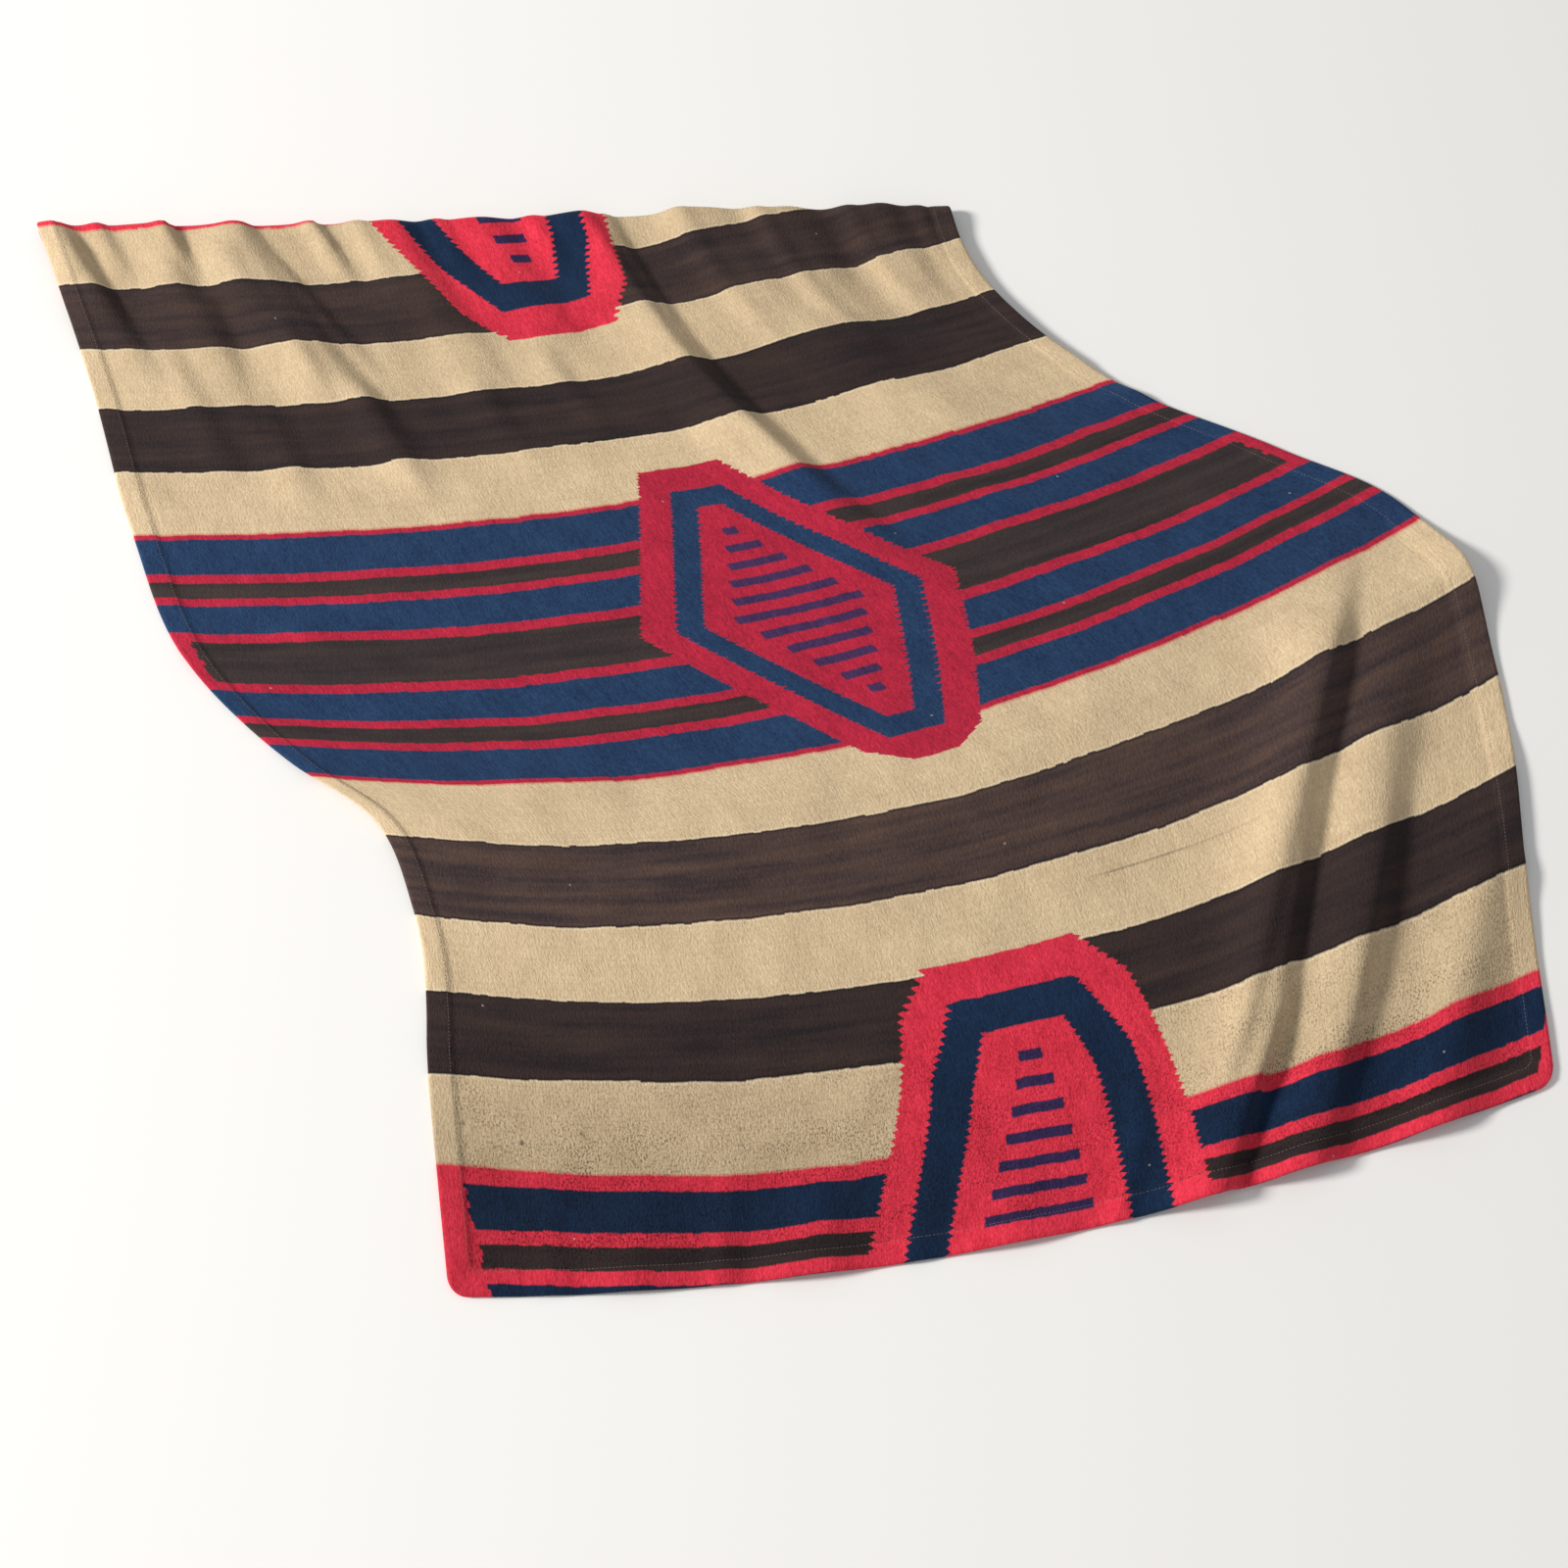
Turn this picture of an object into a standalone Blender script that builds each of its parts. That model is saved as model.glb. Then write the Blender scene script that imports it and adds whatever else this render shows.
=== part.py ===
"""Chief blanket: one printed flannel throw, laid out on a flat surface with its
far end turned under on a slanting fold. Metres, +Z up. The middle of the cut
cloth, on its underside, is the origin."""

from collections import namedtuple

import bmesh
import bpy
import numpy as np

# Driving dimensions. s runs across the cut cloth from its left hem, and t runs
# along it from its front hem.
CUT_WIDTH = 1.27
CUT_LENGTH = 1.52
CLOTH_THICK = 0.003
CORNER_RADIUS = 0.020

# The hem is the cloth turned over and sewn, with a round nose
HEM_THICK = 0.0054
HEM_NOSE_THICK = 0.0032
HEM_NOSE = 0.004
HEM_WIDTH = 0.028
HEM_STEP = 0.005
HEM_LINES = (0.0, HEM_NOSE, HEM_WIDTH - HEM_STEP / 2, HEM_WIDTH + HEM_STEP / 2)
HEM_LINE_THICK = (HEM_NOSE_THICK, HEM_THICK, HEM_THICK, CLOTH_THICK)

# The fold at the far end runs from TURN_LEFT on the left hem to TURN_RIGHT on
# the right one, and bows out by TURN_BOW between them. The turned flap is tucked
# in a little at its sides. The cloth over it lies FLAP_REST above the surface,
# and comes down over FLAP_EASE past the flap's edge.
TURN_LEFT = 1.390
TURN_RIGHT = 1.250
TURN_BOW = 0.046
TURN_RADIUS = 0.006
TURN_PLUMP = 0.024
FLAP_REST = 0.0054
FLAP_HEM_RISE = 0.0024
FLAP_HEM_REACH = 0.022
FLAP_OVERHANG = 0.006
FLAP_EASE = 0.075
FLAP_TUCK = 0.008
FLAP_CALM = 0.080

# Lift below LIFT_SUNK lies flat, and LIFT_KNEE says how softly it leaves the surface
LIFT_SUNK = 0.0008
LIFT_KNEE = 0.0020

# Share of height squared over width that one flank of a ridge takes up, and how
# many widths away the cloth still moves towards the ridge
TAKEN_UP = 0.22
PULL_REACH = 5.0

# How many widths from the crest a left flank that comes straight down has its foot
FOOT_REACH = 1.75

# How far the cloth was pushed aside as it was laid out: x and y at its left hem,
# middle and right hem, for stations along t
Layout = namedtuple("Layout", "t left_x middle_x right_x left_y middle_y right_y")
LAYOUT = (
    Layout(0.00, 0.09, 0.02, -0.02, 0.14, 0.00, -0.03),
    Layout(0.20, 0.13, 0.08, 0.05, 0.15, -0.02, -0.02),
    Layout(0.40, 0.17, 0.09, 0.13, 0.15, -0.01, 0.02),
    Layout(0.50, 0.16, 0.09, 0.15, 0.16, 0.00, 0.05),
    Layout(0.60, 0.09, 0.06, 0.12, 0.16, 0.00, 0.05),
    Layout(0.76, 0.01, 0.00, 0.01, 0.16, 0.00, 0.01),
    Layout(0.95, -0.01, -0.06, -0.14, 0.15, 0.00, -0.03),
    Layout(1.15, -0.01, -0.11, -0.23, 0.15, 0.00, -0.05),
    Layout(1.40, -0.02, -0.14, -0.21, 0.15, 0.00, -0.05),
)

# Soft ridges: the crest runs from (s0, t0) to (s1, t1) and bows aside by bend,
# right and left are its flanks as seen walking along it, and rise and fall are
# the shares of its length over which it grows and dies. foot is how much the left
# flank comes straight down to a sharp foot, and does not run out softly.
Ridge = namedtuple("Ridge", "s0 t0 s1 t1 bend height right left rise fall foot", defaults=(0.0,))
RIDGES = (
    # gathers that start in the far fold
    Ridge(0.014, 1.43, 0.088, 1.06, 0.000, 0.009, 0.028, 0.018, 0.20, 0.65, 0.5),
    Ridge(0.168, 1.43, 0.180, 1.02, 0.005, 0.011, 0.030, 0.018, 0.18, 0.70, 0.5),
    Ridge(0.235, 1.40, 0.300, 1.02, 0.000, 0.007, 0.027, 0.018, 0.15, 0.60, 0.5),
    Ridge(0.258, 1.43, 0.398, 0.96, 0.006, 0.014, 0.032, 0.019, 0.16, 0.60, 0.6),
    Ridge(0.490, 1.43, 0.545, 1.05, 0.004, 0.010, 0.032, 0.022, 0.18, 0.70, 0.4),
    Ridge(0.620, 1.42, 0.660, 1.10, 0.004, 0.009, 0.032, 0.024, 0.18, 0.75, 0.3),
    Ridge(0.748, 1.41, 0.838, 0.70, -0.006, 0.016, 0.036, 0.017, 0.10, 0.45, 0.6),
    Ridge(0.900, 1.39, 1.200, 0.80, 0.040, 0.014, 0.044, 0.042, 0.10, 0.55),
    Ridge(1.030, 1.36, 1.110, 1.02, 0.012, 0.012, 0.032, 0.026, 0.18, 0.70, 0.3),
    Ridge(1.160, 1.33, 1.215, 1.02, 0.008, 0.013, 0.030, 0.024, 0.18, 0.75, 0.3),
    # long soft folds that run down to the front hem on the right
    Ridge(1.205, 0.640, 0.838, -0.06, 0.036, 0.022, 0.042, 0.020, 0.32, 0.08, 0.7),
    Ridge(1.222, 0.540, 0.950, -0.06, 0.026, 0.020, 0.033, 0.026, 0.35, 0.08, 0.3),
    Ridge(1.285, 0.380, 1.105, -0.06, 0.014, 0.016, 0.032, 0.032, 0.40, 0.08),
    # the low roll across the middle, and the bump where it meets the right hem
    Ridge(-0.080, 0.530, 1.060, 0.490, 0.000, 0.010, 0.052, 0.056, 0.10, 0.20),
    Ridge(1.350, 0.500, 1.020, 0.510, 0.000, 0.018, 0.034, 0.034, 0.05, 0.80),
    # waves in the front hem
    Ridge(0.200, -0.06, 0.215, 0.12, 0.000, 0.007, 0.034, 0.034, 0.05, 0.80),
    Ridge(0.400, -0.06, 0.430, 0.16, 0.000, 0.010, 0.036, 0.036, 0.05, 0.80),
    Ridge(0.640, -0.06, 0.650, 0.13, 0.000, 0.008, 0.034, 0.034, 0.05, 0.80),
)

# Rows and columns of the cloth's grid
COLUMNS_BETWEEN_HEMS = 43
ROWS_BETWEEN_HEM_AND_TURN = 39
ROWS_NEAR_TURN = (0.012, 0.032)
ROWS_ROUND_TURN = 5
ROWS_ON_FLAP = 4

CLOTH_COLOUR = (0.62, 0.49, 0.31, 1.0)
CLOTH_ROUGHNESS = 0.95


def clear_scene():
    for thing in list(bpy.data.objects):
        bpy.data.objects.remove(thing, do_unlink=True)


def smooth_step(x):
    """0 below 0, 1 above 1, and an even rise between."""
    x = np.clip(x, 0.0, 1.0)
    return x * x * (3.0 - 2.0 * x)


def through_stations(stations, values, at):
    """A smooth curve that passes each station at its value."""
    slopes = np.gradient(values, stations)
    at = np.clip(at, stations[0], stations[-1])
    i = np.clip(np.searchsorted(stations, at, side="right") - 1, 0, len(stations) - 2)
    step = stations[i + 1] - stations[i]
    u = (at - stations[i]) / step
    value = (1 + 2 * u) * (1 - u) ** 2 * values[i] + u * u * (3 - 2 * u) * values[i + 1]
    return value + step * u * (1 - u) * ((1 - u) * slopes[i] - u * slopes[i + 1])


def layout_shift(s, t):
    """How far a place on the cloth was pushed in x and in y."""
    stations = np.array([row.t for row in LAYOUT])
    share = s / CUT_WIDTH
    shift = []
    for axis in "xy":
        left, middle, right = (
            through_stations(stations, np.array([getattr(row, name + axis) for row in LAYOUT]), t)
            for name in ("left_", "middle_", "right_"))
        shift.append(left * (1 - share) * (1 - 2 * share)
                     + middle * 4 * share * (1 - share)
                     + right * share * (2 * share - 1))
    return shift


def ridge_lift(ridge, s, t, calm):
    """Height of one ridge, and the pull in x and y that gathers cloth into it."""
    length = np.hypot(ridge.s1 - ridge.s0, ridge.t1 - ridge.t0)
    along_s = (ridge.s1 - ridge.s0) / length
    along_t = (ridge.t1 - ridge.t0) / length
    share = ((s - ridge.s0) * along_s + (t - ridge.t0) * along_t) / length
    aside = (s - ridge.s0) * along_t - (t - ridge.t0) * along_s
    aside = aside - ridge.bend * 4 * np.clip(share, 0, 1) * (1 - np.clip(share, 0, 1))
    flank = np.where(aside > 0, ridge.right, ridge.left)
    crest = ridge.height * calm * smooth_step(share / ridge.rise) * smooth_step((1 - share) / ridge.fall)
    u = aside / flank
    # what one flank of a bell-shaped ridge takes up of the cloth near it
    taken_up = TAKEN_UP * crest ** 2 / flank * np.tanh(u ** 3) * np.exp(-(u / PULL_REACH) ** 2)
    bell = np.exp(-0.5 * u * u)
    straight = np.maximum(1 - (u / FOOT_REACH) ** 2, 0)
    profile = np.where(u < 0, bell + ridge.foot * (straight - bell), bell)
    return crest * profile, -taken_up * along_t, taken_up * along_s


def soft_floor(lift):
    """Nothing lies below the surface, and low lifts lie flat on it."""
    above = np.maximum(lift - LIFT_SUNK, 0.0)
    return np.where(above < LIFT_KNEE, above * above / (2 * LIFT_KNEE), above - LIFT_KNEE / 2)


def round_corners(s, t):
    """The four corners of the cut, squares of CORNER_RADIUS turned into quarter rounds."""
    from_side = np.minimum(s, CUT_WIDTH - s)
    from_end = np.minimum(t, CUT_LENGTH - t)
    corner = (from_side < CORNER_RADIUS) & (from_end < CORNER_RADIUS)
    a = np.where(corner, 1 - from_side / CORNER_RADIUS, 0.0)
    b = np.where(corner, 1 - from_end / CORNER_RADIUS, 0.0)
    inward_s = CORNER_RADIUS * (a - a * np.sqrt(1 - b * b / 2))
    inward_t = CORNER_RADIUS * (b - b * np.sqrt(1 - a * a / 2))
    s = s + np.where(s < CUT_WIDTH / 2, inward_s, -inward_s)
    t = t + np.where(t < CUT_LENGTH / 2, inward_t, -inward_t)
    return s, t


def turn_line(s):
    """How far along the cut the far fold lies, in the column at s."""
    share = s / CUT_WIDTH
    return TURN_LEFT + (TURN_RIGHT - TURN_LEFT) * share + TURN_BOW * 4 * share * (1 - share)


def turn_across():
    """The way across the fold, straight across the line between its ends."""
    slope = (TURN_RIGHT - TURN_LEFT) / CUT_WIDTH
    return np.array([-slope, 1.0]) / np.hypot(slope, 1.0)


def turn_under(s, t):
    """Where the far fold puts a place on the cloth: across, along and up, and how
    much of the ridges reaches it."""
    across_s, across_t = turn_across()
    past = (t - turn_line(s)) * across_t
    round_turn = np.pi * TURN_RADIUS
    angle = np.clip(past / TURN_RADIUS, 0, np.pi)
    place = np.where(past < round_turn, TURN_RADIUS * np.sin(angle), round_turn - past)
    place = np.where(past < 0, past, place)
    back = place - past

    # the flap goes straight back under the cloth and narrows towards its hem
    calm = 1 - smooth_step((past - round_turn) / FLAP_CALM)
    tucked = (1 - calm) * FLAP_TUCK * (1 - 2 * s / CUT_WIDTH)
    place_s = s + np.maximum(back, -round_turn) * across_s + tucked

    # what the flap holds up: how far in from its edges this place lies over it
    depth = np.maximum(-past, 0.0)
    inside_end = CUT_LENGTH - t - (2 * depth + round_turn) * across_t
    inside_side = np.minimum(s, CUT_WIDTH - s) - FLAP_TUCK
    inside = np.minimum(inside_end, inside_side)
    held = 1 - smooth_step((-inside - FLAP_OVERHANG) / FLAP_EASE)
    from_hem = np.abs(inside - HEM_WIDTH / 2) - HEM_WIDTH / 2
    held_up = held * (FLAP_REST + FLAP_HEM_RISE * (1 - smooth_step(from_hem / FLAP_HEM_REACH)))
    over = held_up + (2 * TURN_RADIUS - held_up) * np.exp(-(depth / TURN_PLUMP) ** 2)

    up = np.where(past < 0, over, TURN_RADIUS * (1 + np.cos(angle)))
    return place_s, t + back * across_t, up, calm


def cloth_thickness(s, t):
    """Thicker in the hem, which the edges turn over and sew down."""
    from_side = np.minimum(s, CUT_WIDTH - s)
    from_edge = np.minimum(from_side, np.minimum(t, CUT_LENGTH - t))
    return np.interp(from_edge, HEM_LINES, HEM_LINE_THICK)


def lie(s, t):
    """The cloth's middle surface as it lies: x, y and z before it is centred."""
    thick = cloth_thickness(s, t)
    s, t, up, calm = turn_under(*round_corners(s, t))
    x, y = s.copy(), t.copy()
    lift = np.zeros_like(s)
    for ridge in RIDGES:
        height, pull_x, pull_y = ridge_lift(ridge, s, t, calm)
        lift += height
        x += pull_x
        y += pull_y
    shift_x, shift_y = layout_shift(s, t)
    return x + shift_x, y + shift_y, soft_floor(lift) + up + thick / 2


def centred(s, t):
    """The cloth as it lies, with the origin under the middle of the cut."""
    x, y, z = lie(s, t)
    middle_x, middle_y, _ = lie(np.array([CUT_WIDTH / 2]), np.array([CUT_LENGTH / 2]))
    return np.stack([x - middle_x[0], y - middle_y[0], z], axis=1)


def column_places():
    """Distances of the grid's columns from the left hem."""
    hem = np.array(HEM_LINES)
    between = np.linspace(hem[-1], CUT_WIDTH - hem[-1], COLUMNS_BETWEEN_HEMS + 1)
    return np.concatenate([hem, between[1:-1], (CUT_WIDTH - hem)[::-1]])


def row_places(s):
    """Distances of the grid's rows from the front hem, in the column at s. The rows
    lean over to follow the slanting fold."""
    hem = np.array(HEM_LINES)
    near = np.array(ROWS_NEAR_TURN)
    _, across_t = turn_across()
    turn_rows = turn_line(s) + np.linspace(0, np.pi * TURN_RADIUS, ROWS_ROUND_TURN + 1) / across_t
    before = turn_rows[0] - near[::-1]
    after = turn_rows[-1] + near
    front = np.linspace(hem[-1], before[0], ROWS_BETWEEN_HEM_AND_TURN + 1)[:-1]
    flap = np.linspace(after[-1], CUT_LENGTH - hem[-1], ROWS_ON_FLAP + 1)[1:]
    return np.concatenate([hem[:-1], front, before, turn_rows, after, flap, (CUT_LENGTH - hem[:-1])[::-1]])


def split_along_folds(bm, s, t):
    """Each square of the grid becomes two triangles, split along the diagonal that
    comes closer to the cloth in the middle of the square."""
    squares = list(bm.faces)
    corners = np.array([[vert.index for vert in face.verts] for face in squares])
    middle_z = centred(s[corners].mean(axis=1), t[corners].mean(axis=1))[:, 2]
    corner_z = np.array([vert.co.z for vert in bm.verts])[corners]
    first_off = np.abs((corner_z[:, 0] + corner_z[:, 2]) / 2 - middle_z)
    second_off = np.abs((corner_z[:, 1] + corner_z[:, 3]) / 2 - middle_z)
    for face, first in zip(squares, first_off <= second_off):
        a, b, c, d = face.verts
        ends = (a, c) if first else (b, d)
        bmesh.utils.face_split(face, *ends)


def make_blanket(collection):
    """The whole throw as one sheet: a flat grid, laid, folded and given its thickness."""
    columns = column_places()
    rows = np.array([row_places(s) for s in columns])
    last_column, last_row = rows.shape[0] - 1, rows.shape[1] - 1

    bm = bmesh.new()
    bmesh.ops.create_grid(bm, x_segments=last_column, y_segments=last_row, size=0.5)
    grid = np.array([vert.co for vert in bm.verts])
    column = np.rint((grid[:, 0] + 0.5) * last_column).astype(int)
    row = np.rint((grid[:, 1] + 0.5) * last_row).astype(int)
    s, t = columns[column], rows[column, row]
    for vert, place in zip(bm.verts, centred(s, t)):
        vert.co = place
    split_along_folds(bm, s, t)
    mesh = bpy.data.meshes.new("blanket")
    bm.to_mesh(mesh)
    bm.free()
    mesh.shade_smooth()

    blanket = bpy.data.objects.new("blanket", mesh)
    collection.objects.link(blanket)
    thickness = blanket.vertex_groups.new(name="thickness")
    for index, thick in enumerate(cloth_thickness(s, t)):
        thickness.add([index], thick / HEM_THICK, "REPLACE")
    solid = blanket.modifiers.new("cloth thickness", "SOLIDIFY")
    solid.thickness = HEM_THICK
    solid.offset = 0.0
    solid.vertex_group = thickness.name
    return blanket


def flannel():
    """Warm ivory flannel, the ground colour of the print."""
    material = bpy.data.materials.new("flannel")
    material.use_nodes = True
    shader = material.node_tree.nodes["Principled BSDF"]
    shader.inputs["Base Color"].default_value = CLOTH_COLOUR
    shader.inputs["Roughness"].default_value = CLOTH_ROUGHNESS
    shader.inputs["Metallic"].default_value = 0.0
    material.diffuse_color = CLOTH_COLOUR
    return material


def main():
    clear_scene()
    collection = bpy.data.collections.new("chief_blanket")
    bpy.context.scene.collection.children.link(collection)
    blanket = make_blanket(collection)
    blanket.data.materials.append(flannel())


main()
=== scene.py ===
"""Dresses the chief blanket: one printed flannel throw, laid out in soft folds with its
far end turned under. Metres, +Z up. On the cut cloth s runs across from the left hem and
t along from the front hem, and the origin lies under the middle of the cut."""

import logging
import math
from dataclasses import dataclass
from enum import Enum

import bmesh
import bpy
import numpy as np
from mathutils import Euler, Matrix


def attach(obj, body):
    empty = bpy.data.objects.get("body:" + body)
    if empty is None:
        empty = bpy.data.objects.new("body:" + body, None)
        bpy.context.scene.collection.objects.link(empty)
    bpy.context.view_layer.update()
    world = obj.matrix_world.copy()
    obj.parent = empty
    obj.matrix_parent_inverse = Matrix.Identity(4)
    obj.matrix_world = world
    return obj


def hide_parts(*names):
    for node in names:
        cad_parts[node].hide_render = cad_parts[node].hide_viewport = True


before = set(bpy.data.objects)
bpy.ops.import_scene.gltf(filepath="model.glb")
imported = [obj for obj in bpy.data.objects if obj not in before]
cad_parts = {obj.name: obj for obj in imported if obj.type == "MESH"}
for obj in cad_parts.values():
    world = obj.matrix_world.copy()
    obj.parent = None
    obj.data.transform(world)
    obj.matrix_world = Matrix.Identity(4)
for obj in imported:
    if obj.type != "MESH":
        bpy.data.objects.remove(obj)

log = logging.getLogger("chief_blanket")

Array = np.ndarray
Colour = tuple[float, float, float]

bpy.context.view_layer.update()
CAD_NODE = "blanket"
BODY = "root"
CLOTH_MAP = "cloth"
CLOTH_MAP_SIZE = 1.6


def smooth_step(x: Array) -> Array:
    """0 below 0, 1 above 1, and an even rise between."""
    x = np.clip(x, 0.0, 1.0)
    return x * x * (3.0 - 2.0 * x)


def through_stations(stations: Array, values: Array, at: Array) -> Array:
    """A smooth curve that passes each station at its value.

    Args:
        stations: where the values are given, in rising order.
        values: one value for each station.
        at: where the curve is wanted.

    Returns:
        The curve's value at each place.
    """
    slopes = np.gradient(values, stations)
    at = np.clip(at, stations[0], stations[-1])
    i = np.clip(np.searchsorted(stations, at, side="right") - 1, 0, len(stations) - 2)
    step = stations[i + 1] - stations[i]
    u = (at - stations[i]) / step
    value = (1 + 2 * u) * (1 - u) ** 2 * values[i] + u * u * (3 - 2 * u) * values[i + 1]
    return value + step * u * (1 - u) * ((1 - u) * slopes[i] - u * slopes[i + 1])


def placed(name: str, data: bpy.types.ID) -> bpy.types.Object:
    """A new object in the scene that shows a mesh, light or camera."""
    piece = bpy.data.objects.new(name, data)
    bpy.context.scene.collection.objects.link(piece)
    return piece


def read_all(items: bpy.types.bpy_prop_collection, name: str, width: int, kind: type) -> Array:
    """One property of every item, as a row of width numbers for each, or one number."""
    flat = np.empty(len(items) * width, dtype=kind)
    items.foreach_get(name, flat)
    return flat.reshape(-1, width) if width > 1 else flat


def wired(tree: bpy.types.NodeTree, kind: str, inputs: dict, **settings: object) -> bpy.types.Node:
    """A new node in a tree.

    Args:
        tree: where it is added.
        kind: Blender's name for it.
        inputs: for its inputs, by name or number, the socket to link or the value to set.
        settings: its own settings.

    Returns:
        The node.
    """
    node = tree.nodes.new(kind)
    for name, value in settings.items():
        setattr(node, name, value)
    for name, value in inputs.items():
        if isinstance(value, bpy.types.NodeSocket):
            tree.links.new(value, node.inputs[name])
        else:
            node.inputs[name].default_value = value
    return node


# The cut cloth and its hem

@dataclass(frozen=True)
class CutCloth:
    """The cloth as it was cut, hemmed and sewn, before it was laid out."""

    width: float = 1.27
    length: float = 1.52
    thickness: float = 0.003
    corner_radius: float = 0.020
    hem_thickness: float = 0.0054
    hem_width: float = 0.028
    hem_step: float = 0.005
    nose_depth: float = 0.0046
    nose_least: float = 0.0008
    seam_inset: float = 0.0250
    seam_groove: float = 0.0009
    seam_spread: float = 0.0019
    pucker: float = 0.0007
    pucker_reach: float = 0.011
    pucker_lengths: tuple[float, ...] = (0.0212, 0.0337, 0.0571)
    nose_lines: tuple[float, ...] = (0.0, 0.0003, 0.0010, 0.0021, 0.0036)

    def from_edge(self, s: Array, t: Array) -> Array:
        """How far in from the nearest edge of the cut a place is."""
        return np.minimum(np.minimum(s, self.width - s), np.minimum(t, self.length - t))

    def resting_thickness(self, s: Array, t: Array) -> Array:
        """Thickness that the cloth rests on: its hem is two layers and its body one."""
        lines = (self.hem_width - self.hem_step / 2, self.hem_width + self.hem_step / 2)
        return np.interp(self.from_edge(s, t), lines, (self.hem_thickness, self.thickness))

    def sewn_thickness(self, s: Array, t: Array) -> Array:
        """Thickness with the hem's round nose, the groove of its seam and its puckers."""
        inside = self.from_edge(s, t)
        thick = self.resting_thickness(s, t)
        nose = np.sqrt(1 - (1 - np.clip(inside / self.nose_depth, 0, 1)) ** 2)
        thick = np.where(inside < self.nose_depth, np.maximum(thick * nose, self.nose_least), thick)
        thick -= self.seam_groove * np.exp(-(((inside - self.seam_inset) / self.seam_spread) ** 2))
        wave = sum(np.sin(2 * np.pi * (s + t) / length) for length in self.pucker_lengths)
        share = 0.5 + 0.5 * wave / len(self.pucker_lengths)
        return thick - self.pucker * share * np.exp(-(((inside - self.seam_inset) / self.pucker_reach) ** 2))

    def round_corners(self, s: Array, t: Array) -> tuple[Array, Array]:
        """Turns the squares at the four corners of the cut into quarter rounds."""
        radius = self.corner_radius
        from_side = np.minimum(s, self.width - s)
        from_end = np.minimum(t, self.length - t)
        corner = (from_side < radius) & (from_end < radius)
        a = np.where(corner, 1 - from_side / radius, 0.0)
        b = np.where(corner, 1 - from_end / radius, 0.0)
        inward_s = radius * (a - a * np.sqrt(1 - b * b / 2))
        inward_t = radius * (b - b * np.sqrt(1 - a * a / 2))
        s = s + np.where(s < self.width / 2, inward_s, -inward_s)
        t = t + np.where(t < self.length / 2, inward_t, -inward_t)
        return s, t

    def hem_lines(self) -> Array:
        """Grid lines in the hem, as distances from the edge, closest at its nose and seam."""
        seam = self.seam_inset + self.seam_spread * np.array([-2.2, -1.1, 0.0, 1.1, 2.2])
        flat = np.linspace(self.nose_depth, seam[0], 4)
        step = self.hem_width + self.hem_step * np.array([0.75, 1.5])
        return np.concatenate([self.nose_lines, flat[:-1], seam, step])


# How the cloth lies

@dataclass(frozen=True)
class FarFold:
    """The slanting fold that turns the cloth's far end under itself.

    It runs from turn_left on the left hem to turn_right on the right one, and bows out by
    turn_bow between them. The cloth over the turned flap lies flap_rest above the surface
    and comes down over flap_ease."""

    cut: CutCloth = CutCloth()
    turn_left: float = 1.390
    turn_right: float = 1.250
    turn_bow: float = 0.046
    radius: float = 0.006
    plump: float = 0.024
    flap_rest: float = 0.0054
    flap_hem_rise: float = 0.0024
    flap_hem_reach: float = 0.022
    flap_overhang: float = 0.006
    flap_ease: float = 0.075
    flap_tuck: float = 0.008
    flap_calm: float = 0.080
    rows_round: int = 12
    rows_near: tuple[float, ...] = (0.004, 0.009, 0.016, 0.025)

    def line(self, s: Array | float) -> Array | float:
        """How far along the cut the fold lies, in the column at s."""
        share = s / self.cut.width
        bowed = self.turn_bow * 4 * share * (1 - share)
        return self.turn_left + (self.turn_right - self.turn_left) * share + bowed

    def across(self) -> Array:
        """The way across the fold, straight across the line between its ends."""
        slope = (self.turn_right - self.turn_left) / self.cut.width
        return np.array([-slope, 1.0]) / np.hypot(slope, 1.0)

    def turned(self, s: Array, t: Array) -> tuple[Array, Array, Array, Array]:
        """Where the fold puts a place on the cloth.

        Args:
            s: places across the cut.
            t: places along the cut.

        Returns:
            The places across, along and up, and how much of the ridges reaches each.
        """
        cut = self.cut
        across_s, across_t = self.across()
        past = (t - self.line(s)) * across_t
        round_turn = np.pi * self.radius
        angle = np.clip(past / self.radius, 0, np.pi)
        place = np.where(past < round_turn, self.radius * np.sin(angle), round_turn - past)
        place = np.where(past < 0, past, place)
        back = place - past

        calm = 1 - smooth_step((past - round_turn) / self.flap_calm)
        tucked = (1 - calm) * self.flap_tuck * (1 - 2 * s / cut.width)
        place_s = s + np.maximum(back, -round_turn) * across_s + tucked

        depth = np.maximum(-past, 0.0)
        inside_end = cut.length - t - (2 * depth + round_turn) * across_t
        inside_side = np.minimum(s, cut.width - s) - self.flap_tuck
        inside = np.minimum(inside_end, inside_side)
        held = 1 - smooth_step((-inside - self.flap_overhang) / self.flap_ease)
        from_hem = np.abs(inside - cut.hem_width / 2) - cut.hem_width / 2
        hem_rise = self.flap_hem_rise * (1 - smooth_step(from_hem / self.flap_hem_reach))
        held_up = held * (self.flap_rest + hem_rise)
        over = held_up + (2 * self.radius - held_up) * np.exp(-((depth / self.plump) ** 2))
        up = np.where(past < 0, over, self.radius * (1 + np.cos(angle)))
        return place_s, t + back * across_t, up, calm

    def turn_rows(self, s: float) -> Array:
        """Rows of the grid just before, round and just after the fold, in the column at s."""
        rows = self.line(s) + np.linspace(0, np.pi * self.radius, self.rows_round + 1) / self.across()[1]
        near = np.array(self.rows_near)
        return np.concatenate([rows[0] - near[::-1], rows, rows[-1] + near])


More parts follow.
